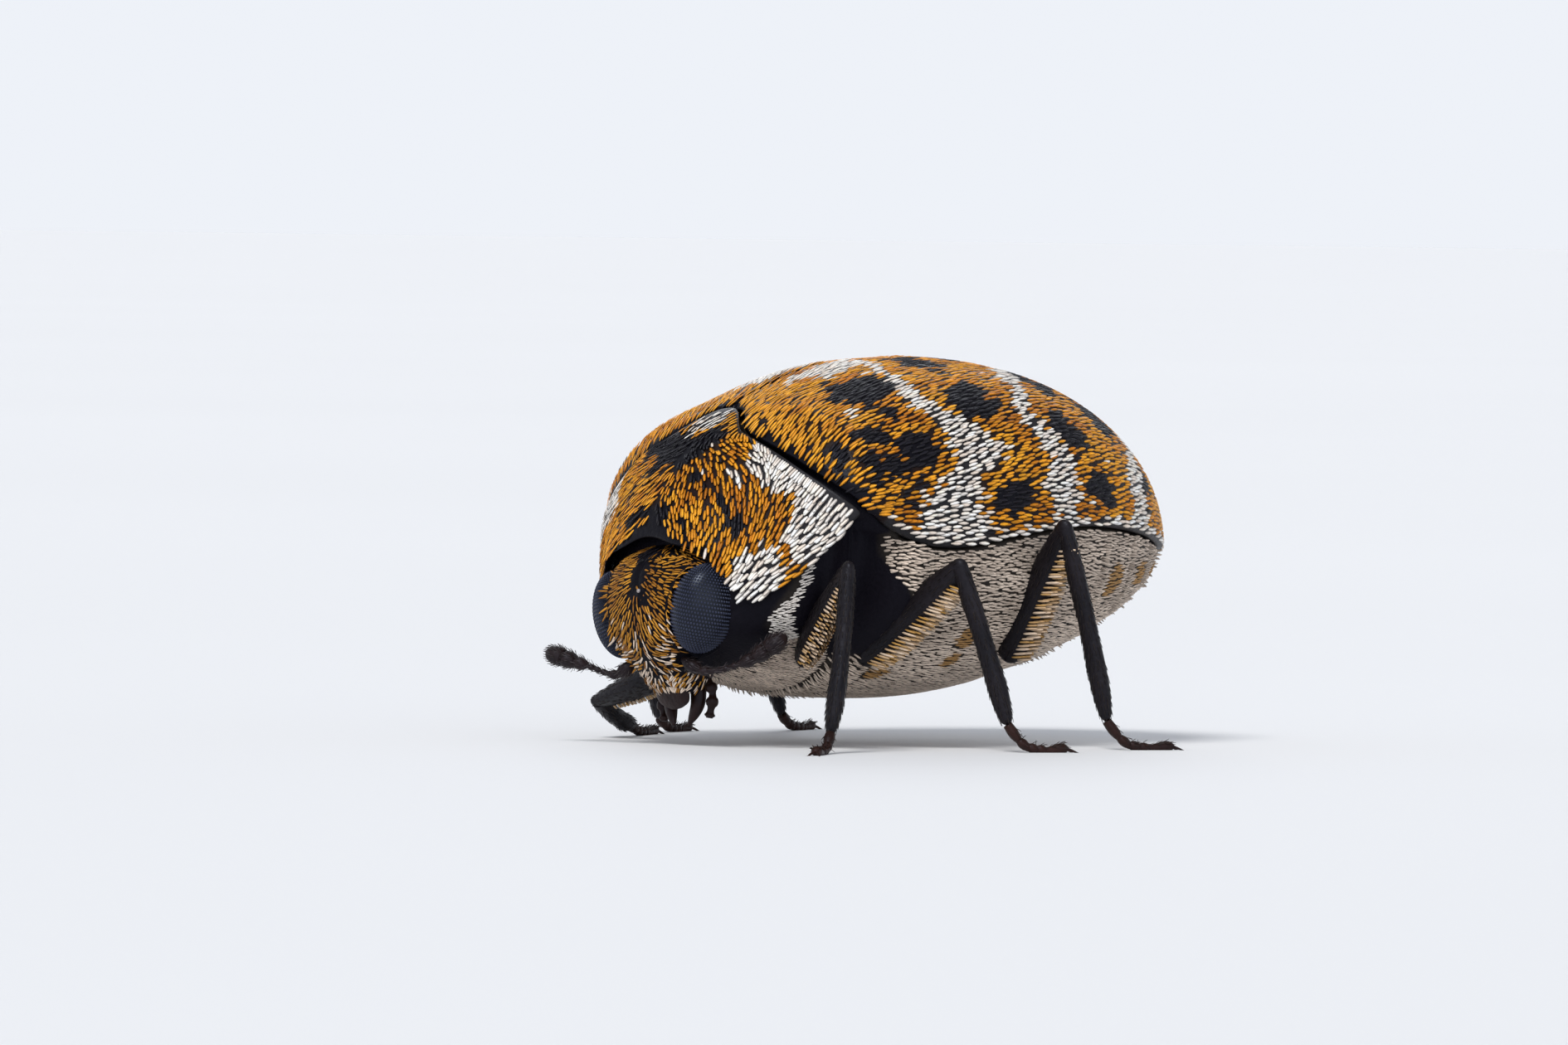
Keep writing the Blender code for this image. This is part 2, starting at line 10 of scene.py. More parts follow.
import bpy
import numpy as np
from mathutils import Matrix


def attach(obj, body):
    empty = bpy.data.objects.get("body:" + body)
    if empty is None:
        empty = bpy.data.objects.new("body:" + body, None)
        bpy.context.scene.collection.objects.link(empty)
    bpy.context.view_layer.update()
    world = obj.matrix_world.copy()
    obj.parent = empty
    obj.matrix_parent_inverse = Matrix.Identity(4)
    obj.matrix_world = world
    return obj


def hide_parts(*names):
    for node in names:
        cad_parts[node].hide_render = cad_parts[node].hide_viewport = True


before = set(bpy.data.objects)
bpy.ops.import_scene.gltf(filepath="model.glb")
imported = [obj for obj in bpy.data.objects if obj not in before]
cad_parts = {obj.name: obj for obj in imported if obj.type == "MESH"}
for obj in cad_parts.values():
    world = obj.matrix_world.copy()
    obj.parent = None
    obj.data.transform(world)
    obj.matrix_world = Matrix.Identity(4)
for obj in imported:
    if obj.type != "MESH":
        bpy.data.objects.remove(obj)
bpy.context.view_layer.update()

MM = 0.001
# Between neighbours; how deep the shells reach; and how far under the coat the skins lie
GAP = 0.010
SHELL = 0.055
COAT = 0.010

# The stance: the lean to the right, and the place over the row frame's origin
LEAN = math.radians(4.3)
FLOOR_BELOW = 0.960
MIDDLE = (0.041, 1.285)

# The body's outline, as in the part's source
WIDEST = 1.15
HIGHEST = 1.30
BODY_END = 2.70
BELLY_END = BODY_END - 0.03
TIP_HEIGHT = -0.20
PLAN_CLOSING = (2.3, 0.5)
SIDE_CLOSING = (2.25, 0.52)
ARCH_ACROSS, ARCH_UP = 0.92, 0.86
BELLY_ACROSS = 0.95
FRONT_SWEEP, FRONT_SWEEP_POWER = 0.165, 1.2
BAY = 0.352
LOBE, LOBE_SPREAD = 0.153, 0.20
CORNER, CORNER_START = 0.153, math.radians(30)

QUARTER = math.pi / 2
LEFT, RIGHT = 1, -1

BODY = (
    Matrix.Translation((-MIDDLE[0], -MIDDLE[1], FLOOR_BELOW * math.cos(LEAN)))
    @ Matrix.Rotation(-LEAN, 4, "Y")
)
TURNED = np.array(BODY)[:3, :3]
MOVED = np.array(BODY)[:3, 3]
RANDOM = np.random.default_rng(20)


def placed(points):
    """Body millimetres to the frame's metres."""
    return (np.asarray(points) @ TURNED.T + MOVED) * MM


def floor_height(x):
    return -FLOOR_BELOW - x * math.tan(LEAN)


# Shape functions, as in the part's source, and their helpers


def through(*knots):
    """A smooth function through (place, value) knots, in cubic pieces."""
    at = np.array([knot[0] for knot in knots])
    value = np.array([knot[1] for knot in knots])
    slope = np.gradient(value, at)

    def smooth(place):
        place = np.clip(place, at[0], at[-1])
        i = np.clip(np.searchsorted(at, place) - 1, 0, len(at) - 2)
        step = at[i + 1] - at[i]
        s = (place - at[i]) / step
        start = (1 + 2 * s) * (1 - s) ** 2 * value[i] + s * (1 - s) ** 2 * step * slope[i]
        end = s * s * (3 - 2 * s) * value[i + 1] + s * s * (s - 1) * step * slope[i + 1]
        return start + end

    return smooth


def closing(y, start, end, fullness, power):
    """1 up to start, then falling to 0 at end like the end of a superellipse."""
    s = np.clip((y - start) / (end - start), 0, 1)
    return (1 - s**fullness) ** power


def signed_power(x, power):
    return np.sign(x) * np.abs(x) ** power


def bell(x, at, reach, power=2):
    """1 at a place, falling off within about reach of it."""
    return np.exp(-(((x - at) / reach) ** power))


def circle(count):
    """Angles all around, evenly spaced."""
    return np.linspace(0, 2 * math.pi, count, endpoint=False)


def eased(steps):
    """Shares from 0 to 1 that lie closer together at both ends."""
    return (1 - np.cos(np.linspace(0, math.pi, steps))) / 2


half_width = through(
    (0.0, 0.36), (0.1, 0.43), (0.2, 0.54), (0.33, 0.71), (0.43, 0.81),
    (0.52, 0.87), (0.75, 0.92), (WIDEST, 0.955),
)
mid_height = through(
    (-0.06, -0.20), (0.0, -0.07), (0.06, 0.07), (0.14, 0.19), (0.28, 0.34),
    (0.45, 0.465), (0.68, 0.575), (0.95, 0.665), (HIGHEST, 0.70),
)
edge_height = through(
    (0.0, -0.43), (0.15, -0.39), (0.25, -0.32), (0.33, -0.24), (0.43, -0.11),
    (0.52, -0.02), (0.62, -0.08), (0.78, -0.15), (0.97, -0.17), (1.25, -0.13),
    (1.6, -0.085), (2.2, -0.11), (BODY_END, TIP_HEIGHT),
)
belly_height = through(
    (0.05, -0.54), (0.2, -0.62), (0.4, -0.69), (0.7, -0.745), (1.0, -0.77),
    (1.4, -0.765), (1.8, -0.69), (2.2, -0.55), (2.45, -0.42), (2.6, -0.31), (2.65, -0.25),
)
flank_inset = through(
    (0.05, 0.10), (0.3, 0.07), (0.44, 0.10), (0.54, 0.17), (0.62, 0.19), (0.70, 0.05),
    (0.85, 0.03), (1.5, 0.03), (2.7, 0.03),
)
belly_sag = through(
    (0.05, 0.0), (0.56, 0.10), (0.69, 0.15), (1.55, 0.05), (1.86, 0.05), (2.3, 0.04), (2.7, 0.0)
)


def back_point(y, turn, inset=0.0):
    """A point of the back. turn runs from -90 degrees at the right edge to 90 at the left."""
    end = BODY_END - inset
    width = (half_width(y) - inset) * closing(y, WIDEST, end, *PLAN_CLOSING)
    edge = edge_height(y)
    ahead = mid_height(np.minimum(y, HIGHEST) - inset * (y < HIGHEST)) - inset
    top = TIP_HEIGHT + (ahead - TIP_HEIGHT) * closing(y, HIGHEST, end, *SIDE_CLOSING)
    across = signed_power(np.sin(turn), ARCH_ACROSS)
    up = np.abs(np.cos(turn)) ** ARCH_UP
    return np.stack([width * across, y + 0 * turn, edge + (top - edge) * up], -1)


def belly_point(y, turn, inset=0.0):
    """A point of the underside. turn runs from 0 at the left edge through 90 to 180."""
    width = half_width(y) - flank_inset(y) - inset
    width = width * closing(y, WIDEST, BELLY_END - inset, *PLAN_CLOSING)
    top = edge_height(y) - GAP
    low = belly_height(y) + inset
    across = signed_power(np.cos(turn), BELLY_ACROSS)
    return np.stack([width * across, y + 0 * turn, top - (top - low) * np.sin(turn)], -1)


def pronotum_front(turn):
    return FRONT_SWEEP * (1 - np.cos(turn)) ** FRONT_SWEEP_POWER


def pronotum_back(turn):
    outwards = (np.abs(turn) - CORNER_START) / (QUARTER - CORNER_START)
    return BAY + LOBE * bell(turn, 0, LOBE_SPREAD) + CORNER * np.clip(outwards, 0, 1) ** 2


# Smooth noise, made of a few fixed waves, for mottled colours and uneven edges


def waves(seed, count, finest):
    """A smooth random function of points, about -1 to 1, with features down to finest millimetres."""
    draw = np.random.default_rng(seed)
    ways = draw.normal(size=(count, 3))
    ways *= (draw.uniform(0.35, 1, count) * 2 * math.pi / finest / np.linalg.norm(ways, axis=1))[:, None]
    start = draw.uniform(0, 2 * math.pi, count)

    def value(points):
        return np.sin(points @ ways.T + start).sum(-1) / math.sqrt(count)

    return value


mottle = waves(3, 14, 0.10)
broad = waves(4, 10, 0.45)


# Meshes


def unit(vectors):
    return vectors / np.maximum(np.linalg.norm(vectors, axis=-1, keepdims=True), 1e-12)


def square_to(normal, way):
    """Unit vectors along way, made square to the normal."""
    return unit(way - (way * normal).sum(-1, keepdims=True) * normal)


def in_scene(name, data):
    thing = bpy.data.objects.new(name, data)
    bpy.context.scene.collection.objects.link(thing)
    return thing


def link(name, mesh, material):
    thing = in_scene(name, mesh)
    mesh.materials.append(material)
    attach(thing, "root")
    return thing


def mesh_of(name, points, faces, colours=None):
    """A mesh from body millimetres and an array of quads. A triangle repeats its last corner.

    The colour of each vertex goes into the attribute that the materials read.
    """
    kept = np.ones(faces.shape, bool)
    kept[:, 3] = faces[:, 3] != faces[:, 2]
    corners = faces[kept]
    mesh = bpy.data.meshes.new(name)
    mesh.vertices.add(len(points))
    mesh.vertices.foreach_set("co", placed(points).astype(np.float32).ravel())
    mesh.loops.add(len(corners))
    mesh.loops.foreach_set("vertex_index", corners.astype(np.int32))
    mesh.polygons.add(len(faces))
    starts = np.r_[0, np.cumsum(kept.sum(1))[:-1]]
    mesh.polygons.foreach_set("loop_start", starts.astype(np.int32))
    mesh.update(calc_edges=True)
    mesh.validate()
    mesh.polygons.foreach_set("use_smooth", np.ones(len(mesh.polygons), bool))
    if colours is not None:
        layer = mesh.color_attributes.new("markings", "FLOAT_COLOR", "POINT")
        whole = np.ones((len(mesh.vertices), 4), np.float32)
        whole[:, :3] = colours
        layer.data.foreach_set("color", whole.ravel())
    return mesh


def piece(name, points, faces, colours, material):
    return link(name, mesh_of(name, points, faces, colours), material)


def around_rings(count, sides):
    """The first corner of each quad between neighbouring rings, and the corner after it."""
    k, i = np.meshgrid(np.arange(count - 1), np.arange(sides), indexing="ij")
    return (k * sides + i).ravel(), (k * sides + (i + 1) % sides).ravel()


def tube(rings):
    """Points and quads of a closed tube through rings of equal length."""
    rings = np.asarray(rings)
    count, sides = rings.shape[:2]
    points = np.vstack([rings.reshape(-1, 3), rings[0].mean(0), rings[-1].mean(0)])
    a, b = around_rings(count, sides)
    i = np.arange(sides)
    j = (i + 1) % sides
    first = 0 * i + count * sides
    start = (count - 1) * sides
    faces = np.vstack([
        np.stack([a, b, b + sides, a + sides], -1),
        np.stack([j, i, first, first], -1),
        np.stack([start + i, start + j, first + 1, first + 1], -1),
    ])
    return points, faces


def shell(outer, inner):
    """Points and quads of a closed shell between two grids, with its rim."""
    rows, columns = outer.shape[:2]
    under = rows * columns
    index = np.arange(under).reshape(rows, columns)
    quads = np.stack([index[:-1, :-1], index[:-1, 1:], index[1:, 1:], index[1:, :-1]], -1).reshape(-1, 4)
    edge = np.r_[index[0, :], index[1:, -1], index[-1, -2::-1], index[-2:0:-1, 0]]
    then = np.roll(edge, -1)
    rim = np.stack([then, edge, edge + under, then + under], -1)
    faces = np.vstack([quads, quads[:, ::-1] + under, rim])
    return np.vstack([outer.reshape(-1, 3), inner.reshape(-1, 3)]), faces


def joined(parts):
    """Several (points, faces) as one."""
    starts = np.cumsum([0] + [len(points) for points, faces in parts])
    return (
        np.vstack([points for points, faces in parts]),
        np.vstack([faces + start for (points, faces), start in zip(parts, starts)]),
    )


def smooth_path(stations, steps):
    """Points along a smooth curve through stations, each (place, x, y, z)."""
    stations = np.array(stations, float)
    places = np.linspace(stations[0, 0], stations[-1, 0], steps)
    return np.stack([through(*zip(stations[:, 0], stations[:, k]))(places) for k in (1, 2, 3)], -1)


def tube_rings(path, wide, thick, sides, flat_along=(0, 0, 1)):
    """Elliptical rings along a path: thick is the half-size along flat_along, wide the other one."""
    ahead = unit(np.gradient(path, axis=0))
    across = unit(np.cross(flat_along, ahead))
    up = np.cross(ahead, across)
    spin = circle(sides)[None, :, None]
    wide, thick = (np.broadcast_to(size, len(path))[:, None] for size in (wide, thick))
    return path[:, None] + np.cos(spin) * (wide * across)[:, None] + np.sin(spin) * (thick * up)[:, None]


def on_side(stations, side):
    return [(place, side * x, y, z) for place, x, y, z in stations]


def folded(points):
    """The points with those of the right side mirrored to the left."""
    return np.concatenate([np.abs(points[..., :1]), points[..., 1:]], -1)


# Materials


def set_inputs(tree, node, **values):
    """Sets a node's inputs, by name with _ for spaces, to constants or to other nodes' outputs."""
    for key, value in values.items():
        socket = node.inputs[key.replace("_", " ")]
        if isinstance(value, bpy.types.NodeSocket):
            tree.links.new(value, socket)
        else:
            socket.default_value = value
    return node


def new_node(tree, kind, **values):
    return set_inputs(tree, tree.nodes.new("ShaderNode" + kind), **values)


def body_noise(tree, scale, detail=4.0):
    """Noise over the object, where scale counts features per millimetre."""
    place = new_node(tree, "TexCoord").outputs["Object"]
    return new_node(tree, "TexNoise", Scale=scale / MM, Detail=detail, Vector=place).outputs["Fac"]


def spread(tree, noise, low, high):
    """Takes noise from 0 to 1 to between low and high."""
    return new_node(tree, "MapRange", Value=noise, To_Min=low, To_Max=high).outputs["Result"]


def principled(name, colour, roughness, scale, roughnesses, tints=None, detail=4.0, **settings):
    """A Principled material with uneven roughness, and constant inputs by name with _ for spaces.

    With tints it takes its colour from the markings attribute, lightened and darkened by noise.
    """
    made = bpy.data.materials.new(name)
    made.use_nodes = True
    tree = made.node_tree
    shader = tree.nodes["Principled BSDF"]
    set_inputs(tree, shader, Base_Color=(*colour, 1), Roughness=roughness, **settings)
    noise = body_noise(tree, scale, detail)
    if tints:
        marks = new_node(tree, "VertexColor")
        marks.layer_name = "markings"
        scaled = new_node(tree, "VectorMath")
        scaled.operation = "SCALE"
        set_inputs(tree, scaled, Vector=marks.outputs["Color"], Scale=spread(tree, noise, *tints))
        set_inputs(tree, shader, Base_Color=scaled.outputs["Vector"])
    set_inputs(tree, shader, Roughness=spread(tree, noise, *roughnesses))
    return made, tree, shader, noise


def add_bump(tree, shader, height, depth):
    """Bump from a height output. depth is in millimetres."""
    bump = new_node(tree, "Bump", Strength=1.0, Distance=depth * MM, Height=height)
    set_inputs(tree, shader, Normal=bump.outputs["Normal"])


def coat_material(name, roughness):
    """Scales: satin, each with its own colour, and with a fine uneven bump."""
    made, tree, shader, noise = principled(
        name, (0.5, 0.2, 0.03), roughness, scale=45, roughnesses=(roughness - 0.08, roughness + 0.10),
        tints=(0.72, 1.28), Specular_IOR_Level=0.24,
    )
    add_bump(tree, shader, body_noise(tree, 160, detail=2), depth=0.0015)
    return made


def shell_material(name, roughness, pits, depth, shine):
    """Dark chitin: glossy, faintly blue in its reflections, pitted and finely wrinkled."""
    made, tree, shader, noise = principled(
        name, (0.012, 0.011, 0.014), roughness, pits, (roughness - 0.06, roughness + 0.14),
        tints=(0.6, 1.4), Specular_IOR_Level=shine, Specular_Tint=(0.75, 0.82, 1.0, 1),
    )
    add_bump(tree, shader, noise, depth)
    return made


SCALY = coat_material("scales", roughness=0.46)
HAIRY = coat_material("fine_scales", roughness=0.6)
SHIELD = shell_material("shield", roughness=0.34, pits=55, depth=0.0025, shine=0.12)
SKIN = shell_material("body_skin", roughness=0.46, pits=70, depth=0.003, shine=0.08)
LIMB = shell_material("limb", roughness=0.38, pits=38, depth=0.004, shine=0.20)
EYE = principled(
    "eye_facets", (0.012, 0.014, 0.026), roughness=0.34, scale=9, roughnesses=(0.28, 0.42), tints=(0.5, 1.5),
    Specular_IOR_Level=0.45, Specular_Tint=(0.7, 0.8, 1.0, 1),
)[0]
BEAD = principled(
    "simple_eye", (0.30, 0.27, 0.27), roughness=0.10, scale=60, roughnesses=(0.08, 0.2),
    Specular_IOR_Level=0.7,
)[0]

BLACK = np.array([0.006, 0.005, 0.008])
LIMB_BLACK = np.array([0.008, 0.006, 0.007])
LIMB_BROWN = np.array([0.040, 0.015, 0.009])
FEELER_DARK = np.array([0.018, 0.011, 0.011])
OCHRE = np.array([0.60, 0.205, 0.006])
GOLD = np.array([0.78, 0.34, 0.018])
RUST = np.array([0.28, 0.075, 0.006])
FACE_BROWN = np.array([0.27, 0.100, 0.008])
FACE_GOLD = np.array([0.66, 0.300, 0.028])
CREAM = np.array([0.90, 0.86, 0.82])
PEACH = np.array([0.86, 0.72, 0.60])
BEIGE = np.array([0.54, 0.44, 0.36])
TAN = np.array([0.36, 0.20, 0.07])
STRAW = np.array([0.50, 0.27, 0.06])
HAIR_BROWN = np.array([0.019, 0.013, 0.012])
HAIR_GREY = np.array([0.065, 0.055, 0.060])
INK = np.array([0.007, 0.006, 0.011])
BARE = BLACK * 0.7


# Markings. A mark is an ellipse: turn from the middle line in degrees, y, and its reach in both.


def most(*fields):
    return np.maximum.reduce(fields)


def marks(turn, y, ellipses):
    """Above 0 within any of the ellipses."""
    return most(*[
        1 - ((turn - at_turn) / wide) ** 2 - ((y - at_y) / long) ** 2
        for at_turn, at_y, wide, long in ellipses
    ])


def mixed(a, b, share):
    return a + (b - a) * np.clip(share, 0, 1)[..., None]


ELYTRON_BLACK = (
    (30, 0.81, 10, 0.165), (54, 0.615, 4.5, 0.12), (62, 0.83, 6.5, 0.15), (60, 0.48, 5, 0.03),
    (67, 0.665, 6.5, 0.13), (75, 0.575, 5, 0.025), (46, 0.82, 5, 0.03),
    (80.5, 1.27, 4.5, 0.115), (18, 1.25, 10, 0.10),
    (46, 1.27, 11, 0.12), (10, 1.52, 7, 0.09), (58, 1.72, 9, 0.10),
    (28, 1.78, 12, 0.12), (80, 1.83, 8, 0.10), (44, 2.05, 12, 0.10),
    (12, 2.12, 9, 0.10), (70, 2.22, 10, 0.08), (30, 2.42, 16, 0.07),
)
ELYTRON_WHITE = ((9, 0.885, 7, 0.175), (41, 0.66, 2.5, 0.03))
# Each band's middle line and half-width, y by turn
WHITE_BANDS = (
    (through((0, 1.08), (18, 1.03), (35, 0.985), (44, 0.985), (52, 1.05), (60, 1.12), (68, 1.12),
             (72, 1.05), (76, 0.97), (80, 0.935), (90, 0.92)),
     through((0, 0.02), (35, 0.04), (44, 0.05), (52, 0.07), (60, 0.10), (68, 0.14),
             (72, 0.145), (76, 0.175), (80, 0.185), (86, 0.21), (90, 0.28))),
    (through((0, 1.62), (20, 1.68), (40, 1.58), (55, 1.50), (72, 1.60), (90, 1.56)),
     through((0, 0.04), (20, 0.07), (40, 0.05), (55, 0.06), (75, 0.10), (90, 0.13))),
    (through((0, 2.25), (20, 2.20), (40, 2.28), (60, 2.20), (90, 2.12)),
     through((0, 0.05), (25, 0.08), (50, 0.05), (70, 0.08), (90, 0.10))),
)


def elytron_fields(turn, y):
    """How far into the white and the black each place is."""
    turn = np.abs(turn)
    bands = [1 - np.abs(y - middle(turn)) / half(turn) for middle, half in WHITE_BANDS]
    margin = np.minimum((turn - 88) / 3, (y - 0.60) / 0.05)
    return most(*bands, margin, marks(turn, y, ELYTRON_WHITE)), marks(turn, y, ELYTRON_BLACK)


# The white patch at the pronotum's hind corner: from which turn on, and how far forwards by turn
PATCH_START = 26
PATCH_DEPTH = through(
    (26, 0.0), (29, 0.03), (36, 0.090), (45, 0.105), (52, 0.095), (58, 0.080), (65, 0.080),
    (69, 0.12), (73, 0.165), (80, 0.20), (90, 0.19),
)
PATCH_EDGE = 0.04
PRONOTUM_WHITE = (
    (0, 0.43, 4.5, 0.095), (85, 0.175, 15, 0.095), (37, 0.226, 8, 0.013), (66, 0.056, 10, 0.012),
)
PRONOTUM_BLACK = (
    (1, 0.25, 10, 0.075), (8, 0.31, 6, 0.055), (57, 0.165, 7, 0.030), (45, 0.158, 8, 0.012),
    (8, 0.058, 7, 0.016), (18, 0.165, 3, 0.02), (28, 0.150, 3, 0.010),
)
# Its marks lie this many degrees lower on the right side, as in the photo
RIGHT_LOWER = 14.0


def pronotum_fields(turn, y):
    """The same for the pronotum."""
    turn = np.abs(turn) - RIGHT_LOWER * np.clip(-turn / 30, 0, 1)
    ahead = pronotum_back(np.radians(turn)) - y
    patch = np.where(turn > PATCH_START, (PATCH_DEPTH(turn) - ahead) / PATCH_EDGE, -1.0)
    return most(patch, marks(turn, y, PRONOTUM_WHITE)), marks(turn, y, PRONOTUM_BLACK)


EDGE_SHARPNESS = 6
STRAY_BLACK, STRAY_WHITE = 0.020, 0.993
FAR_FROM_WHITE = -3


def painted(white, black, points, loose, mottled=0.40):
    """Colours from the two fields. loose is how far the edges break up into single scales."""
    draw = RANDOM.uniform(-1, 1, len(points)) if loose else np.zeros(len(points))
    uneven = mottled * mottle(points) + loose * draw
    warm = 0.58 + 0.35 * mottle(points) + 0.25 * broad(points) + 0.35 * draw
    colours = mixed(mixed(OCHRE, GOLD, warm), RUST, 0.15 - 0.55 * (warm - 0.25))
    dark = np.clip((black + uneven) * EDGE_SHARPNESS, 0, 1)
    pale = np.clip((white + uneven * 0.8) * EDGE_SHARPNESS, 0, 1)
    light = CREAM
    if loose:
        stray = RANDOM.uniform(size=len(points))
        dark = (dark > 0.5) | (stray < STRAY_BLACK)
        pale = (pale > 0.5) | ((stray > STRAY_WHITE) & (white > FAR_FROM_WHITE))
        light = mixed(CREAM, PEACH, 0.35 + 0.45 * draw)
    return mixed(mixed(colours, INK, dark), light, pale)


# Scales. Each is a thin closed leaf with its root in the skin, four-sided at each of these places.

LEAF_PLACES = np.array([0.0, 0.25, 0.55, 0.82, 1.0])
LEAF_WIDTHS = np.array([0.50, 0.90, 1.0, 0.90, 0.50])
POINTED_WIDTHS = np.array([0.40, 0.85, 1.0, 0.72, 0.16])
HAIR_WIDTHS = np.array([0.6, 1.0, 0.9, 0.6, 0.15])
LEAF_THICK = np.array([0.5, 1.0, 1.0, 0.8, 0.35])
# Painted shade along each leaf: darker towards its root, where it lies under its neighbours
ALONG_PAINTED_SHADE = np.array([0.60, 0.85, 1.0, 1.05, 1.0])
ACROSS_PLACES = np.array([-0.5, 0.0, 0.5, 0.0])
# Across each leaf: edges darker, partly the leaf's own darker rim and partly painted shade of the gaps
# between leaves; the underside darker as painted shade
ACROSS_EDGE_AND_PAINTED_SHADE = np.array([0.66, 1.14, 0.66, 0.75])
# The size of a leaf's own patch on the UV map
TUFT = 0.003


def leaves(name, rows, colours, material, length, width, keep=np.s_[:],
           lift=0.010, thick=0.0020, curl=0.0, widths=LEAF_WIDTHS, sunk=0.004):
    """One coat piece: a closed leaf in each kept row of root, way, normal and place on the UV map.

    It lies along its way, its root sunk in the skin and its tip lifted off it.
    """
    roots, ahead, normal, uv = (part[keep] for part in rows)
    colours = np.clip(colours, 0, 1)[keep]
    length, width = length[keep, None], width[keep, None]
    count, stations = len(roots), len(LEAF_PLACES)
    lift = np.broadcast_to(lift, count)[:, None]
    ahead = square_to(normal, ahead)
    out = LEAF_PLACES * length
    height = -sunk + (lift + sunk) * LEAF_PLACES**0.75 - curl * out**2 / 2
    spine = roots[:, None] + out[..., None] * ahead[:, None] + height[..., None] * normal[:, None]
    side = (widths * width / 2)[..., None] * np.cross(normal, ahead)[:, None]
    up = (LEAF_THICK * thick)[:, None] * normal[:, None]
    points = np.stack([spine - side, spine + up, spine + side, spine - 0.6 * up], 2)
    a, b = around_rings(stations, 4)
    end = (stations - 1) * 4
    ends = [[0, 1, 2, 3], [end + 3, end + 2, end + 1, end]]
    one = np.vstack([np.stack([a, a + 4, b + 4, b], -1), ends])
    faces = (one + (np.arange(count) * stations * 4)[:, None, None]).reshape(-1, 4)
    # Each leaf's tint carries painted shade: darker at its root, at its edges and underneath
    shade = ALONG_PAINTED_SHADE[:, None, None] * ACROSS_EDGE_AND_PAINTED_SHADE[:, None]
    tint = np.clip(colours[:, None, None] * shade, 0, 1)
    mesh = mesh_of(name, points.reshape(-1, 3), faces, tint.reshape(-1, 3))
    local = np.broadcast_arrays(ACROSS_PLACES * widths[:, None], LEAF_PLACES[:, None] - 0.5)
    flat = (uv[:, None, None] + TUFT * np.stack(local, -1)).reshape(-1, 2).astype(np.float32)
    corner = np.empty(len(mesh.loops), np.int32)
    mesh.loops.foreach_get("vertex_index", corner)
    layer = mesh.uv_layers.new(name="OFBake")
    layer.data.foreach_set("uv", flat[corner].ravel())
    return link(name, mesh, material)


def patches(*spans):
    """Places on the UV map, from two (values, lowest, highest)."""
    return np.stack([0.02 + 0.96 * np.clip((v - low) / (high - low), 0, 1) for v, low, high in spans], -1)


def laid_rows(surface, along, around, pitch, spacing, jitter, first=0.5):
    """Places for scales in staggered rows on surface(a, b), rows an equal way from the first edge.

    along and around are arrays of a and b. Returns a and b for each scale.
    """
    grid = surface(*np.meshgrid(along, around, indexing="ij"))
    steps = np.linalg.norm(np.diff(grid, axis=0), axis=-1)
    reach = np.vstack([0 * around, np.cumsum(steps, axis=0)])
    found = []
    for row in range(int(reach[-1].max() / pitch)):
        way = (row + first) * pitch
        inside = way < reach[-1]
        if inside.sum() < 2:
            continue
        line_b = around[inside]
        line_a = np.array([np.interp(way, reach[:, j], along) for j in np.flatnonzero(inside)])
        line = surface(line_a, line_b)
        width = np.r_[0, np.cumsum(np.linalg.norm(np.diff(line, axis=0), axis=-1))]
        count = int(width[-1] / spacing)
        if count < 1:
            continue
        spots = (np.arange(count) + 0.25 + 0.5 * (row % 2)) / count * width[-1]
        spots = np.clip(spots + RANDOM.normal(size=count) * jitter * spacing, 0, width[-1])
        found.append([np.interp(spots, width, line_a), np.interp(spots, width, line_b)])
    a, b = np.hstack(found)
    return a + RANDOM.normal(size=len(a)) * jitter * 0.5 * pitch, b


# The step of a and b for slopes on a surface
STEP = 1e-3


def ways_on(surface, a, b):
    """How the surface runs about a and about b, over two steps of each."""
    return surface(a + STEP, b) - surface(a - STEP, b), surface(a, b + STEP) - surface(a, b - STEP)


def sizes_on(surface, a, b):
    """How long a unit of a and a unit of b are."""
    return [np.linalg.norm(way, axis=-1) / (2 * STEP) for way in ways_on(surface, a, b)]


def frames(surface, a, b, core):
    """Point, unit tangents square to b and along b, and the normal that points away from the core."""
    point = surface(a, b)
    way_a, way_b = ways_on(surface, a, b)
    way_b = unit(way_b)
    way_a = square_to(way_b, way_a)
    normal = np.cross(way_a, way_b)
    flip = np.sign((normal * (point - np.array(core))).sum(-1, keepdims=True))
    return point, way_a, way_b, normal * np.where(flip == 0, 1, flip)


# How near scales push each other apart, in their own sizes, and how much of a push they follow
CROWDED, YIELD = 1.15, 0.30


def settled(surface, a, b, flow, length, width, core, rounds=24):
    """Spreads scales evenly over surface(a, b), in a pattern stretched along the way they point."""
    a_range, b_range = (a.min(), a.max()), (b.min(), b.max())
    for _ in range(rounds):
        point, way_a, way_b, normal = frames(surface, a, b, core)
        ahead = unit(flow(a, b, point, way_a, way_b))
        across = np.cross(normal, ahead)
        gap = point[:, None] - point[None]
        u = np.einsum("ijk,ik->ij", gap, ahead) / length
        v = np.einsum("ijk,ik->ij", gap, across) / width
        far = np.sqrt(u * u + v * v)
        push = np.clip(1 - far / CROWDED, 0, 1) / np.maximum(far, 0.05)
        move = ahead * (push * u).sum(1)[:, None] * length + across * (push * v).sum(1)[:, None] * width
        move = YIELD * move
        size_a, size_b = sizes_on(surface, a, b)
        a = np.clip(a + (move * way_a).sum(-1) / size_a, *a_range)
        b = np.clip(b + (move * way_b).sum(-1) / size_b, *b_range)
    return a, b


def half_way(surface, a, b, point, ahead, way_b, length):
    """Where the middles of scales lie: their points, and b there."""
    middle = point + 0.5 * length[:, None] * unit(ahead)
    return middle, b + ((middle - point) * way_b).sum(-1) / sizes_on(surface, a, b)[1]


# The back

BODY_CORE = (0.0, 1.0, -0.1)
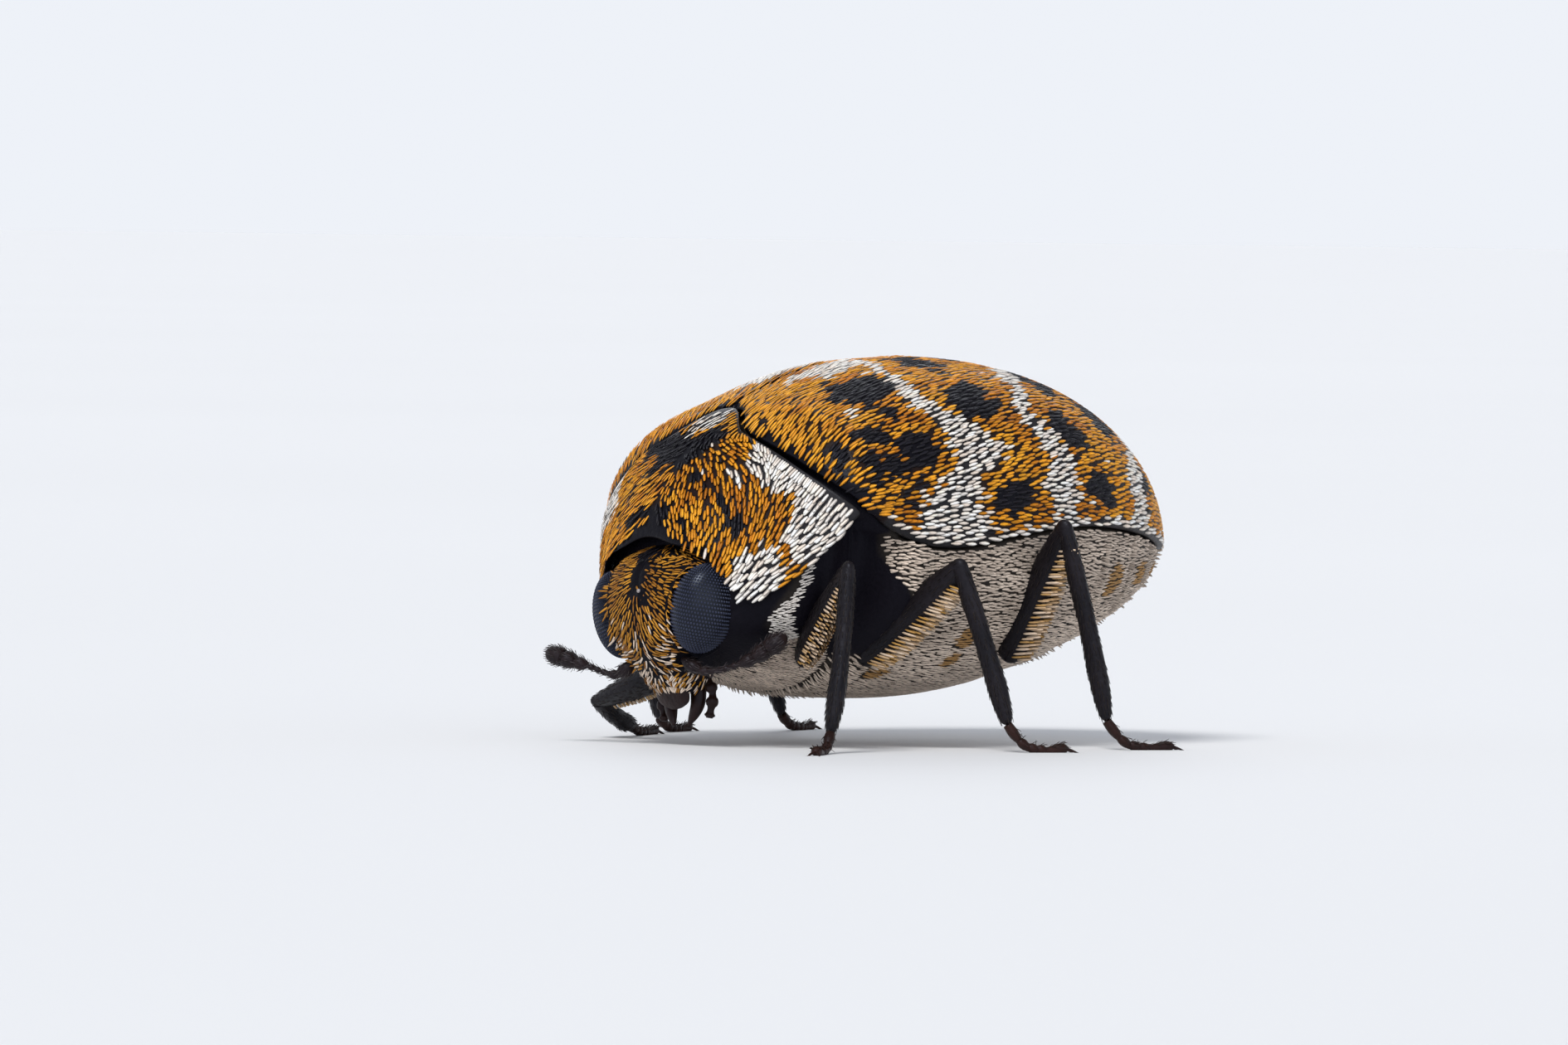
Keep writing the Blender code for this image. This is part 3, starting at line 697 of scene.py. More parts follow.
# A shell's thickness at its front margin, as a share of its own, and how far back it is thinned
MARGIN_SHARE, HOOD_SHARE, MARGIN_REACH = 0.45, 0.12, 0.12
# How far the pronotum's front edge is drawn back over the head's middle, and by which turn less
HOOD_BACK, HOOD_SPREAD = 0.020, 0.42
# How wide the black rim at a front margin is, and how much of the coat's colour the skin has
# The rim is black cuticle, and it lacks the coat's tint as painted shade of the groove at the margin
BARE_SHADED_RIM = 0.05
UNDER_COAT = 0.018


def back_skin(y, turn):
    return back_point(y, turn, COAT)


def rim_rounded(outer, inner, rows=2):
    """Draws the outer grid's last rows in towards the inner one, so that the rim is round."""
    for k in range(rows):
        blend = 0.5 * (1 - k / rows) ** 2
        for cut in (np.s_[k, :], np.s_[-1 - k, :], np.s_[:, k], np.s_[:, -1 - k]):
            outer[cut] = outer[cut] + (inner[cut] - outer[cut]) * blend
    return outer


def back_shell(name, turn, places, share, fields, side=0):
    """A marked shell over the back, thinned to a share of itself at its front margin.

    places gives y for an inset, in rows from the front for each turn. side ends it at the middle line.
    """
    grids = []
    for inset in (COAT, SHELL):
        y = places(inset)
        grown = np.clip(share + (y - y[:1]) / MARGIN_REACH, 0, 1)
        grid = back_point(y, turn + 0 * y, COAT + (inset - COAT) * grown)
        if side:
            grid[..., 0] = side * np.maximum(side * grid[..., 0], GAP / 2)
        grids.append(grid)
    outer, inner = grids
    y = places(COAT)
    white, black = fields(np.degrees(turn + 0 * y), y)
    colours = painted(white.ravel(), black.ravel(), outer.reshape(-1, 3), loose=0)
    # Painted shade: the rim at the front margin is left without the coat's tint, darker like the groove's
    # shade, over black cuticle
    colours = mixed(BARE, BARE + UNDER_COAT * colours, (y - y[:1]).ravel() / BARE_SHADED_RIM - 0.6)
    points, faces = shell(rim_rounded(outer, inner), inner)
    faces = faces if side < 0 else faces[:, ::-1]
    return piece(name, points, faces, np.vstack([colours, 0 * colours + BLACK]), SHIELD)


def hood_front(turn):
    """The visible pronotum's front edge, drawn back a little over the middle of the head."""
    return pronotum_front(turn) + HOOD_BACK * bell(turn, 0, HOOD_SPREAD)


def make_pronotum():
    turn = np.linspace(-QUARTER, QUARTER, 181)
    front, back = hood_front(turn), pronotum_back(turn)
    y = front + (back - front) * np.linspace(0, 1, 71)[:, None]
    thing = back_shell("shield_pronotum", turn, lambda inset: y, HOOD_SHARE, pronotum_fields)
    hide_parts("pronotum")


# Where the pronotum's scales point: turn and y, then degrees from outwards, negative forwards
PRONOTUM_COMBING = (
    (0, 0.05, -75), (0, 0.15, -89), (0, 0.30, -90), (0, 0.45, -95), (8, 0.05, -46), (8, 0.14, -58),
    (8, 0.25, -35), (8, 0.38, -105), (16, 0.05, -32), (16, 0.13, -50), (16, 0.22, -38), (16, 0.30, -20),
    (24, 0.08, -40), (24, 0.15, -48), (24, 0.20, -32), (24, 0.28, 5), (32, 0.08, -36), (32, 0.15, -37),
    (32, 0.21, -26), (32, 0.28, -3), (40, 0.08, -34), (40, 0.15, -24), (40, 0.22, -24), (40, 0.30, -16),
    (48, 0.08, -35), (48, 0.15, -22), (48, 0.22, -28), (47, 0.29, -40), (48, 0.34, -90), (56, 0.12, -24),
    (56, 0.20, -21), (56, 0.28, -32), (56, 0.35, -72), (64, 0.12, -31), (64, 0.20, -27), (64, 0.28, -42),
    (64, 0.37, -56), (72, 0.15, -41), (72, 0.21, -32), (72, 0.28, -48), (72, 0.38, -52), (80, 0.16, -58),
    (80, 0.24, -62), (80, 0.33, -57), (80, 0.42, -46), (88, 0.20, -50), (88, 0.28, -68), (88, 0.37, -62),
    (88, 0.46, -46),
)


def combed(aside, along, guides, reach, way_out, way_along):
    """Ways blended from the guides by distance, the same on both sides of the middle line."""
    guides = np.array(guides, float)
    turns = np.radians(guides[:, 2])
    gap_aside = (np.abs(aside)[:, None] - guides[:, 0]) / reach[0]
    gap_along = (along[:, None] - guides[:, 1]) / reach[1]
    weight = 1 / (0.02 + (gap_aside**2 + gap_along**2)) ** 2
    out = weight @ np.cos(turns)
    back = weight @ np.sin(turns)
    size = np.hypot(out, back)
    side = np.where(aside < 0, -1, 1)[:, None]
    return way_out * side * (out / size)[:, None] + way_along * (back / size)[:, None]


def pronotum_surface(share, turn):
    front, back = hood_front(turn) + 0.004, pronotum_back(turn) - 0.010
    return back_skin(front + (back - front) * share, turn)


def pronotum_flow(share, turn, point, way_y, way_turn):
    return combed(np.degrees(turn), point[:, 1], PRONOTUM_COMBING, (60, 0.25), way_turn, way_y)


# How far forwards the tips of the scales reach over the hood, y by turn
HOOD_BARE = through(
    (0, 0.028), (12, 0.024), (21, 0.016), (36, 0.013), (50, 0.017), (64, 0.030), (76, 0.062), (83, 0.092),
    (90, 0.140),
)


def coat_pronotum():
    along, around = np.linspace(0, 1, 80), np.linspace(-QUARTER + 0.01, QUARTER - 0.01, 220)
    share, turn = laid_rows(
        pronotum_surface, along, around, pitch=0.030, spacing=0.0240, jitter=0.4, first=0.15
    )
    share = np.clip(share + RANDOM.normal(size=len(share)) * 0.045, 0, 1)
    share, turn = settled(
        pronotum_surface, share, turn, pronotum_flow, length=0.042, width=0.0160, core=BODY_CORE
    )
    share = np.clip(share + RANDOM.normal(size=len(share)) * 0.014, 0, 1)
    y = pronotum_surface(share, turn)[:, 1]
    point, way_y, way_turn, normal = frames(back_skin, y, turn, BODY_CORE)
    ahead = pronotum_flow(share, turn, point, way_y, way_turn) + 0.07 * RANDOM.normal(size=point.shape)
    length = RANDOM.uniform(0.052, 0.064, len(point))
    middle, turned = half_way(back_skin, y, turn, point, ahead, way_turn, length)
    white, black = pronotum_fields(np.degrees(turned), middle[:, 1])
    colours = painted(white, black, middle, loose=0.32, mottled=0.28)
    colours *= RANDOM.uniform(0.78, 1.22, (len(point), 1))
    width = RANDOM.uniform(0.0132, 0.0160, len(point)) * (1 + 0.10 * np.clip(4 * white, 0, 1))
    rows = (point, ahead, normal, patches((turn, -QUARTER, QUARTER), (share, 0, 1)))
    keep = (point + ahead * length[:, None])[:, 1] > HOOD_BARE(np.degrees(np.abs(turned)))
    thing = leaves("coat_pronotum", rows, colours, SCALY, length, width, keep, lift=0.008, curl=1.0)


def make_elytron(name, side):
    turn = np.linspace(0, QUARTER, 121)
    front = pronotum_back(turn) + GAP * 2
    share = np.sin(np.linspace(0, 1, 161)[:, None] ** 1.25 * QUARTER)

    def places(inset):
        return front + (BODY_END - inset - front) * share

    thing = back_shell("case_" + name, side * turn, places, MARGIN_SHARE, elytron_fields, side)
    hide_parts(name)


# How far the scales' tips lean towards the middle line, in degrees, by turn
ELYTRON_LEAN = through(
    (0, -3), (4, -8), (12, -18), (22, -8), (32, 4), (45, 9), (60, 10), (72, 13), (82, 5), (90, 0)
)


def speckles(degrees, y):
    """Single dark scales beside the front corner."""
    return (degrees > 66) & (degrees < 84) & (y < 0.80) & (RANDOM.uniform(size=len(y)) < 0.20)


def coat_elytron(name, side):
    def surface(share, turn):
        front = pronotum_back(turn) + GAP * 2 - 0.006
        return skin(front + (BODY_END - 0.01 - COAT - front) * np.sin(share * QUARTER), turn)

    def skin(y, turn):
        return back_skin(y, side * turn)

    along, around = np.linspace(0, 0.995, 300), np.linspace(0.010, QUARTER - 0.004, 240)
    share, turn = laid_rows(surface, along, around, pitch=0.039, spacing=0.0222, jitter=0.15, first=0.05)
    y = surface(share, turn)[:, 1]
    point, way_y, way_turn, normal = frames(skin, y, turn, BODY_CORE)
    degrees = np.degrees(turn)
    lean = ELYTRON_LEAN(degrees) + 8 * bell(y, pronotum_back(turn), 0.10)
    lean = np.radians(lean * np.clip((2.5 - y) / 0.9, 0, 1) + RANDOM.normal(size=len(y)) * 3)
    ahead = way_y * np.cos(lean)[:, None] - way_turn * np.sin(lean)[:, None]
    upper = np.clip((60 - degrees) / 20, 0, 1)
    length = RANDOM.uniform(0.046, 0.056, len(point)) * (1 + 0.24 * upper)
    middle, turned = half_way(skin, y, turn, point, ahead, way_turn, length)
    white, black = elytron_fields(np.degrees(turned), middle[:, 1])
    black = np.where(speckles(degrees, y), 1.0, black)
    colours = painted(white, black, middle, loose=0.35)
    colours *= RANDOM.uniform(0.76, 1.22, (len(point), 1))
    width = RANDOM.uniform(0.0142, 0.0170, len(point)) * (1 + 0.14 * upper)
    rows = (point, ahead, normal, patches((turn, 0, QUARTER), (share, 0, 1)))
    thing = leaves("coat_" + name, rows, colours, SCALY, length, width,
                   lift=0.009 - 0.0025 * upper, curl=1.2, widths=POINTED_WIDTHS, sunk=0.003)


# The trunk: one skin under the shells, with its segments' joints and the antennal hollows

PROTHORAX = (0.10, 0.555)
MESOTHORAX_END = 0.685
ABDOMEN_JOINTS = (1.56, 1.86, 2.09, 2.28, 2.44, 2.57)
SEGMENT_STEP = 0.016
JOINT_WIDTH = 0.008
BELLY_CORE = (0, 1.2, -0.2)


def segment_inset(y):
    """How far the underside is drawn in at y: a step at the front of each segment, and its joint."""
    inset = COAT + 0 * y
    for start, end in zip(ABDOMEN_JOINTS, ABDOMEN_JOINTS[1:]):
        within = (y >= start) & (y < end)
        inset = inset + within * SEGMENT_STEP * (1 - (y - start) / (end - start))
    for joint in (PROTHORAX[1] + 0.005, *ABDOMEN_JOINTS[:-1]):
        inset = inset + 0.014 * bell(y, joint, JOINT_WIDTH)
    return inset + 0.004 * bell(y - MESOTHORAX_END, 0.005, JOINT_WIDTH)


def underside(y, turn):
    sag = belly_sag(y) * np.sin(turn) ** 2
    return belly_point(y + sag, turn, segment_inset(y))


def trunk_ring(y):
    over = np.linspace(-QUARTER, QUARTER, 60)
    under = np.linspace(0, math.pi, 150)
    dorsal = back_point(np.full(len(over), y), over, SHELL + 0.020)
    return np.vstack([dorsal, underside(np.full(len(under), y), under)])


GROOVE = ((0, 0.52, 0.10, -0.50), (1, 0.665, 0.235, -0.395), (2, 0.77, 0.385, -0.245))
GROOVE_LINE = smooth_path(GROOVE, 24)
GROOVE_RADIUS, GROOVE_END = 0.075, 0.56
GROOVE_CORE = np.array(BODY_CORE) - (0, 0.5, 0.15)


def hollowed(points):
    """Presses the antennal hollows into the prothorax."""
    gap = np.linalg.norm(folded(points)[..., None, :] - GROOVE_LINE, axis=-1).min(-1)
    depth = GROOVE_RADIUS * np.sqrt(np.clip(1 - gap / GROOVE_RADIUS, 0, 1))
    return points + unit(GROOVE_CORE - points) * (depth * (points[..., 1] < GROOVE_END))[..., None]


# The pale strip on the prothorax's side, and where the pale flank starts: y by degrees from the edge
STRIP_Y = through(
    (0, 0.350), (10, 0.330), (18, 0.290), (28, 0.280), (40, 0.315), (50, 0.345), (90, 0.40)
)
STRIP_HALF = through(
    (0, 0.016), (8, 0.018), (16, 0.030), (28, 0.032), (38, 0.030), (50, 0.050), (90, 0.10)
)
# Before the flank starts the skin is bare and black; the wedge reaching back to 0.79 behind the thigh is
# painted shadow of the thigh and hip
FLANK_START = through(
    (0, 0.655), (12, 0.66), (18, 0.70), (24, 0.75), (32, 0.79), (45, 0.79), (56, 0.68), (90, 0.655)
)
BELLY_BROWN = (
    (61, 0.72, 4.5, 0.055), (40, 1.08, 6, 0.07), (52, 1.06, 5, 0.05), (30, 1.47, 16, 0.05),
    (24, 1.98, 10, 0.05), (22, 2.22, 9, 0.05), (20, 2.40, 9, 0.04),
)


def trunk_fields(turn, y):
    """How bare the underside is, and how brown. turn is degrees from the side edge."""
    strip = 1 - np.abs(y - STRIP_Y(turn)) / STRIP_HALF(turn)
    chest = np.minimum((turn - 52) / 8, (y - 0.27) / 0.03)
    # The bare area includes the wedge of painted shadow behind the thigh
    bare = np.minimum(-most(strip, chest), (FLANK_START(turn) - y) / 0.012)
    return bare, marks(turn, y, BELLY_BROWN)


def make_trunk():
    joints = (0.56, 0.69, *ABDOMEN_JOINTS[:-1])
    places = np.unique(np.r_[
        np.linspace(PROTHORAX[0], ABDOMEN_JOINTS[-1], 200),
        [joint + d for joint in joints for d in (-0.012, -0.006, 0.0, 0.006, 0.012)],
    ])
    rings = hollowed(np.array([trunk_ring(y) for y in places]))
    points, faces = tube(rings)
    wide = half_width(points[:, 1]) - flank_inset(points[:, 1])
    across = np.clip(np.abs(points[:, 0]) / np.maximum(wide, 0.01), 0, 1)
    laid = np.r_[np.repeat(places, rings.shape[1]), places[0], places[-1]]
    bare, brown = trunk_fields(np.degrees(np.arccos(across)), laid)
    # The bare skin is black; behind the thigh this black is painted shadow of the thigh and hip
    colours = mixed(BEIGE * 0.045, BLACK, bare + 0.6 + 0.2 * mottle(points))
    thing = piece("skin_trunk", points, faces, colours, SKIN)
    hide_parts("prothorax", "mesothorax", "metathorax", *[f"abdomen_{k}" for k in range(1, 6)])


# Pitch, spacing, length and width of the underside's scales
FLANK_SCALES = (0.0265, 0.0150, 0.044, 0.0125)
BREAST_SCALES = (0.0170, 0.0095, 0.029, 0.0084)
BELLY_LEAF = {"lift": 0.006, "thick": 0.0017, "curl": 1.6, "widths": POINTED_WIDTHS, "sunk": 0.003}
BELLY_BEIGE = BEIGE * 0.90


def coat_trunk(name, start, end, margin, sizes, slant):
    """Fine pale scales on part of the underside, to within margin degrees of its edges.

    slant turns them down from rearwards.
    """
    pitch, spacing, long, wide = sizes
    turn_from, turn_to = np.radians(margin), np.radians(180 - margin)
    along, around = np.linspace(start, end, 260), np.linspace(turn_from, turn_to, 240)
    y, turn = laid_rows(underside, along, around, pitch, spacing, jitter=0.2)
    point, way_y, way_turn, normal = frames(underside, y, turn, BELLY_CORE)
    degrees = np.degrees(turn)
    from_edge = np.minimum(degrees, 180 - degrees)
    bare, brown = trunk_fields(from_edge, y)
    # No scales where the skin is bare, which leaves the painted shadow behind the thigh black
    keep = bare + 0.25 * RANDOM.uniform(-1, 1, len(y)) < 0
    keep &= RANDOM.uniform(size=len(y)) < 0.97
    down = np.where(degrees < 90, 1, -1)[:, None] * slant
    ahead = way_y + way_turn * down + 0.10 * RANDOM.normal(size=point.shape)
    shade = 0.40 + 0.22 * mottle(point) + 0.2 * broad(point) + 0.30 * RANDOM.uniform(-1, 1, len(y))
    colours = mixed(BELLY_BEIGE, PEACH, shade)
    colours = mixed(colours, TAN * 1.1, (brown + 0.3 * mottle(point)) * 3)
    front_pale = np.clip((0.5 - y) / 0.08, 0, 1) * (from_edge < 45)
    colours = mixed(colours, CREAM, 0.8 * front_pale)
    rows = (point, ahead, normal, patches((turn, turn_from, turn_to), (y, start, end)))
    length = long * RANDOM.uniform(0.92, 1.1, len(y))
    width = wide * RANDOM.uniform(0.92, 1.1, len(y))
    thing = leaves(name, rows, colours, HAIRY, length, width, keep, **BELLY_LEAF)


def tip_surface(share, turn):
    """The end of the abdomen. share is 0 at its middle and 1 at its lower edge."""
    end = ABDOMEN_JOINTS[-1]
    middle = trunk_ring(end).mean(0)
    return middle + (underside(end + 0 * turn, turn) - middle) * np.asarray(share)[..., None]


def coat_tip():
    """Scales pointing down over the end of the abdomen."""
    pitch, spacing, long, wide = FLANK_SCALES
    along, around = np.linspace(0.99, 0.03, 60), np.linspace(0.02, math.pi - 0.02, 200)
    share, turn = laid_rows(tip_surface, along, around, pitch * 0.8, spacing, jitter=0.3)
    root, _, _, normal = frames(tip_surface, share, turn, BELLY_CORE)
    ahead = 0 * root + (0, 0.2, -1) + 0.15 * RANDOM.normal(size=root.shape)
    shade = RANDOM.uniform(0, 1, len(root))
    size = 0.9 + 0.2 * shade
    rows = (root, ahead, normal, patches((turn, 0, math.pi), (share, 0, 1)))
    colours = mixed(BELLY_BEIGE, PEACH, shade)
    thing = leaves("coat_tip", rows, colours, HAIRY, long * size, wide * size, **BELLY_LEAF)


# The head

HEAD_TOP, HEAD_LOW = -0.10, -0.74
HEAD_ACROSS, HEAD_ALONG = 0.86, 0.94
head_width = through(
    (HEAD_LOW, 0.125), (-0.70, 0.155), (-0.64, 0.195), (-0.56, 0.26), (-0.47, 0.32),
    (-0.36, 0.35), (-0.25, 0.33), (-0.16, 0.25), (HEAD_TOP, 0.10),
)
head_front = through(
    (HEAD_LOW, 0.10), (-0.70, 0.06), (-0.64, 0.015), (-0.54, -0.045), (-0.43, -0.08),
    (-0.31, -0.075), (-0.21, -0.03), (-0.14, 0.03), (HEAD_TOP, 0.11),
)
head_rear = through(
    (HEAD_LOW, 0.22), (-0.68, 0.28), (-0.55, 0.36), (-0.38, 0.38), (-0.20, 0.32), (HEAD_TOP, 0.22)
)
EYE_PLACE = (0.280, 0.080, -0.390)
EYE_RADII = (0.100, 0.135, 0.188)
OCELLUS = (0.042, -0.310)
OCELLUS_SPIN = math.radians(-85)
HEAD_CORE = (0.0, 0.15, -0.42)


def head_point(z, spin, inset=0.0):
    """The head's surface: spin is -90 degrees at the face's middle and 0 at the left side."""
    middle, deep = (head_front(z) + head_rear(z)) / 2, (head_rear(z) - head_front(z)) / 2 - inset
    across = signed_power(np.cos(spin), HEAD_ACROSS)
    along = signed_power(np.sin(spin), HEAD_ALONG)
    return np.stack([(head_width(z) - inset) * across, middle + deep * along, z + 0 * spin], -1)


def eye_turn(side):
    """The eye leans back at its top and faces outwards and a little forwards."""
    lean = Matrix.Rotation(math.radians(-10), 3, "X")
    toe = Matrix.Rotation(math.radians(-22 * side), 3, "Z")
    tip = Matrix.Rotation(math.radians(10 * side), 3, "Y")
    return np.array(toe @ lean @ tip)


def eye_share(points):
    """1 on the nearer eye's surface, less inside and more outside."""
    local = (folded(points) - EYE_PLACE) @ eye_turn(LEFT)
    return np.linalg.norm(local / EYE_RADII, axis=-1)


LEFT_ANTENNA = (
    (0.0, 0.175, 0.050, -0.600), (0.25, 0.28, 0.07, -0.655), (0.6, 0.42, 0.18, -0.625),
    (1.0, 0.565, 0.295, -0.520),
)
RIGHT_ANTENNA = (
    (0.0, -0.170, 0.055, -0.600), (0.2, -0.235, 0.035, -0.645), (0.55, -0.385, -0.03, -0.600),
    (1.0, -0.555, -0.10, -0.535),
)
ANTENNAE = (LEFT_ANTENNA, RIGHT_ANTENNA)


def antenna_gap(points):
    """How far the nearer antenna's root is."""
    return np.minimum(*[np.linalg.norm(points - np.array(line[0][1:]), axis=-1) for line in ANTENNAE])


def ocellus_gap(x, z):
    """The square of how far the small eye is, seen from the front."""
    return (x - OCELLUS[0]) ** 2 + (z - OCELLUS[1]) ** 2


OCELLUS_REACH = 0.018
# The bare line down the forehead: x by height, from the small eye up to the crown
PARTING = through(
    (-0.33, 0.050), (-0.31, 0.042), (-0.27, 0.012), (-0.22, -0.006), (-0.17, 0.010), (-0.13, 0.030)
)
PARTING_HALF = 0.011
# The dark mark on the crown: x and z, and its reach in both
CROWN_BLACK = ((0.0, -0.135, 0.055, 0.035),)


def head_relief(points):
    """How far the head's surface stands out or in: eye rims, sockets, the bare line and the lip."""
    x, z = points[..., 0], points[..., 2]
    face = points[..., 1] < 0.12
    eye, near = eye_share(points), antenna_gap(points)
    rim = bell(eye, 1.16, 0.05) * 0.010
    ditch = bell(eye, 1.05, 0.05) * -0.014
    socket = -0.030 * bell(near, 0, 0.038) + 0.010 * bell(near, 0.055, 0.014)
    line = -0.008 * bell(x, PARTING(z), PARTING_HALF) * bell(z, -0.21, 0.09, 4) * face
    button = 0.014 * np.exp(-(ocellus_gap(x, z) / OCELLUS_REACH**2)) * face
    lip = -0.008 * bell(z + 0.655 - 0.25 * x**2, 0, 0.008) * face
    return rim + ditch + socket + line + button + lip


def head_surface(z, spin):
    plain = head_point(z, spin, COAT * 0.8)
    return plain + unit(plain - np.array(HEAD_CORE)) * head_relief(plain)[..., None]


def make_head():
    levels = HEAD_LOW + (HEAD_TOP - HEAD_LOW) * eased(150)
    points, faces = tube(head_surface(*np.meshgrid(levels, circle(240), indexing="ij")))
    thing = piece("skin_head", points, faces, np.tile(BARE, (len(points), 1)), SKIN)
    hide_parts("head")


# Where the face's scales point: degrees from its middle and z, then from outwards, 90 down
HEAD_COMBING = (
    (0, -0.13, 90), (10, -0.14, 88), (30, -0.13, 95), (50, -0.15, 50), (10, -0.18, 2), (22, -0.18, 0),
    (34, -0.18, -12), (10, -0.23, 18), (20, -0.23, 18), (30, -0.23, 5), (42, -0.23, -10), (10, -0.28, 28),
    (20, -0.28, 26), (30, -0.28, 5), (40, -0.28, -5), (0, -0.33, 85), (8, -0.34, 45), (20, -0.34, 24),
    (30, -0.34, 28), (40, -0.35, 50), (0, -0.40, 88), (10, -0.40, 58), (20, -0.40, 40), (30, -0.40, 50),
    (40, -0.40, 62), (0, -0.46, 88), (10, -0.46, 70), (20, -0.46, 38), (30, -0.46, 46), (42, -0.46, 55),
    (0, -0.52, 85), (10, -0.50, 42), (20, -0.50, 18), (32, -0.50, 26), (10, -0.55, 8), (20, -0.55, 5),
    (32, -0.55, -5), (0, -0.60, 80), (10, -0.60, 4), (20, -0.60, -8), (32, -0.60, -15), (0, -0.67, 90),
    (10, -0.66, 30), (20, -0.67, 100), (35, -0.67, 140), (0, -0.73, 90), (30, -0.72, 120), (60, -0.70, 135),
)


def head_flow(z, spin, point, way_z, way_spin):
    return combed(np.degrees(spin) + 90, z, HEAD_COMBING, (40, 0.16), way_spin, -way_z)


def bare_of_scales(point):
    """Where the head has no scales: at eyes, sockets, small eye and parting, and at the rear."""
    x, y, z = point[:, 0], point[:, 1], point[:, 2]
    at_parting = (np.abs(x - PARTING(z)) < PARTING_HALF) & (z > OCELLUS[1]) & (z < -0.14)
    behind = y > np.where((z < -0.5) & (z > -0.635), 0.12, 0.20)
    at_ocellus = ocellus_gap(x, z) <= OCELLUS_REACH**2
    return (eye_share(point) <= 1.17) | (antenna_gap(point) <= 0.050) | at_ocellus | at_parting | behind


def coat_head():
    along = np.linspace(HEAD_TOP - 0.004, HEAD_LOW + 0.01, 220)
    around = np.linspace(math.radians(-200), math.radians(20), 260)
    z, spin = laid_rows(head_surface, along, around, pitch=0.030, spacing=0.0180, jitter=0.2)
    z, spin = settled(
        head_surface, z, spin, head_flow, length=0.040, width=0.0120, core=HEAD_CORE, rounds=16
    )
    point, way_z, way_spin, normal = frames(head_surface, z, spin, HEAD_CORE)
    x, height = point[:, 0], point[:, 2]
    ahead = head_flow(z, spin, point, way_z, way_spin) + 0.10 * RANDOM.normal(size=point.shape)
    draw = RANDOM.uniform(-1, 1, len(z))
    colours = mixed(FACE_BROWN, FACE_GOLD, 0.45 + 0.35 * mottle(point) + 0.4 * draw)
    low = np.clip((-0.36 - height) / 0.30, 0, 1)
    pale = RANDOM.uniform(size=len(z)) < low * 0.42 + 0.14 * (height < -0.6)
    colours *= 1 - 0.22 * low[:, None]
    colours = mixed(colours, PEACH, pale * (0.85 + 0.15 * draw))
    dark = marks(x, height, CROWN_BLACK) + 0.5 * draw
    colours = mixed(colours, INK, dark * 3)
    rows = (point, ahead, normal, patches((spin, -3.5, 0.35), (z, HEAD_LOW, HEAD_TOP)))
    length = RANDOM.uniform(0.048, 0.062, len(z)) * np.clip((height + 0.86) / 0.26, 0.65, 1)
    width = RANDOM.uniform(0.0096, 0.0122, len(z))
    thing = leaves("coat_head", rows, colours, SCALY, length, width, ~bare_of_scales(point),
                   lift=0.007, thick=0.0018, curl=2.4, widths=HAIR_WIDTHS)


# The facets' rows apart, and the facets of a row
FACET, FACET_WIDE = 0.0156, 0.0118
# The eye's blue-black in a shaded and a lit copy: painted shade between the facets and a painted sheen on
# their domes
EYE_SHADED = np.array([0.002, 0.002, 0.004])
EYE_LIT = np.array([0.033, 0.039, 0.077])
# A facet's three rings: size and height
FACET_RINGS = ((1.0, 0.0), (0.80, 0.0036), (0.45, 0.0062))
FACET_TOP, FACET_SUNK = 0.0070, 0.002
# How light the rings and the top are: painted shade low on each facet and a painted sheen on its top
FACET_PAINTED_LIGHT = (0.0, 0.35, 0.9, 1.0)


def facet(centre, normal, across, up):
    """Points and quads of one low dome."""
    ring = circle(6)
    dome = [
        centre - normal * FACET_SUNK
        + np.outer(np.cos(ring), across) * FACET_WIDE * 0.50 * wide
        + np.outer(np.sin(ring), up) * FACET * 0.45 * wide
        + normal * rise
        for wide, rise in FACET_RINGS
    ]
    i = np.arange(6)
    j = (i + 1) % 6
    sides = [np.stack([i + k, j + k, j + k + 6, i + k + 6], -1) for k in (0, 6)]
    cap = np.stack([i + 12, j + 12, 0 * i + 18, 0 * i + 18], -1)
    return np.vstack([*dome, centre + normal * FACET_TOP]), np.vstack([*sides, cap])


def make_eye(name, side):
    """An ellipsoid covered with facets in rows."""
    radii = np.array(EYE_RADII)
    level, around = np.meshgrid(np.linspace(0, math.pi, 60)[1:-1], circle(96), indexing="ij")
    ball = np.stack([np.cos(level), np.sin(level) * np.cos(around), np.sin(level) * np.sin(around)], -1)
    parts = [tube(ball * radii)]
    heights = np.linspace(-0.985, 0.985, int(EYE_RADII[2] * math.pi / FACET))
    for k, h in enumerate(np.sin(heights * QUARTER)):
        wide = math.sqrt(max(1 - h * h, 0))
        count = max(int(2 * math.pi * wide * (radii[0] + radii[1]) / 2 / FACET_WIDE), 3)
        angles = (np.arange(count) + 0.5 * (k % 2)) / count * 2 * math.pi
        centres = np.stack([wide * np.cos(angles), wide * np.sin(angles), 0 * angles + h], -1)
        normal = unit(centres / radii)
        across = unit(np.cross([0, 0, 1.0], normal))
        parts += [facet(*rows) for rows in zip(centres * radii, normal, across, np.cross(normal, across))]
    points, faces = joined(parts)
    x, y, z = EYE_PLACE
    whole = (points * (side, 1, 1)) @ eye_turn(side).T + (side * x, y, z)
    # Painted shade and sheen: the ball and each facet's base dark, its top light
    shade = np.tile(np.repeat(FACET_PAINTED_LIGHT, (6, 6, 6, 1)), len(parts) - 1)
    colours = mixed(EYE_SHADED, EYE_LIT, np.r_[np.zeros(len(parts[0][0])), shade])
    thing = piece("facets_" + name, whole, faces[:, ::side], colours, EYE)
    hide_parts(name)


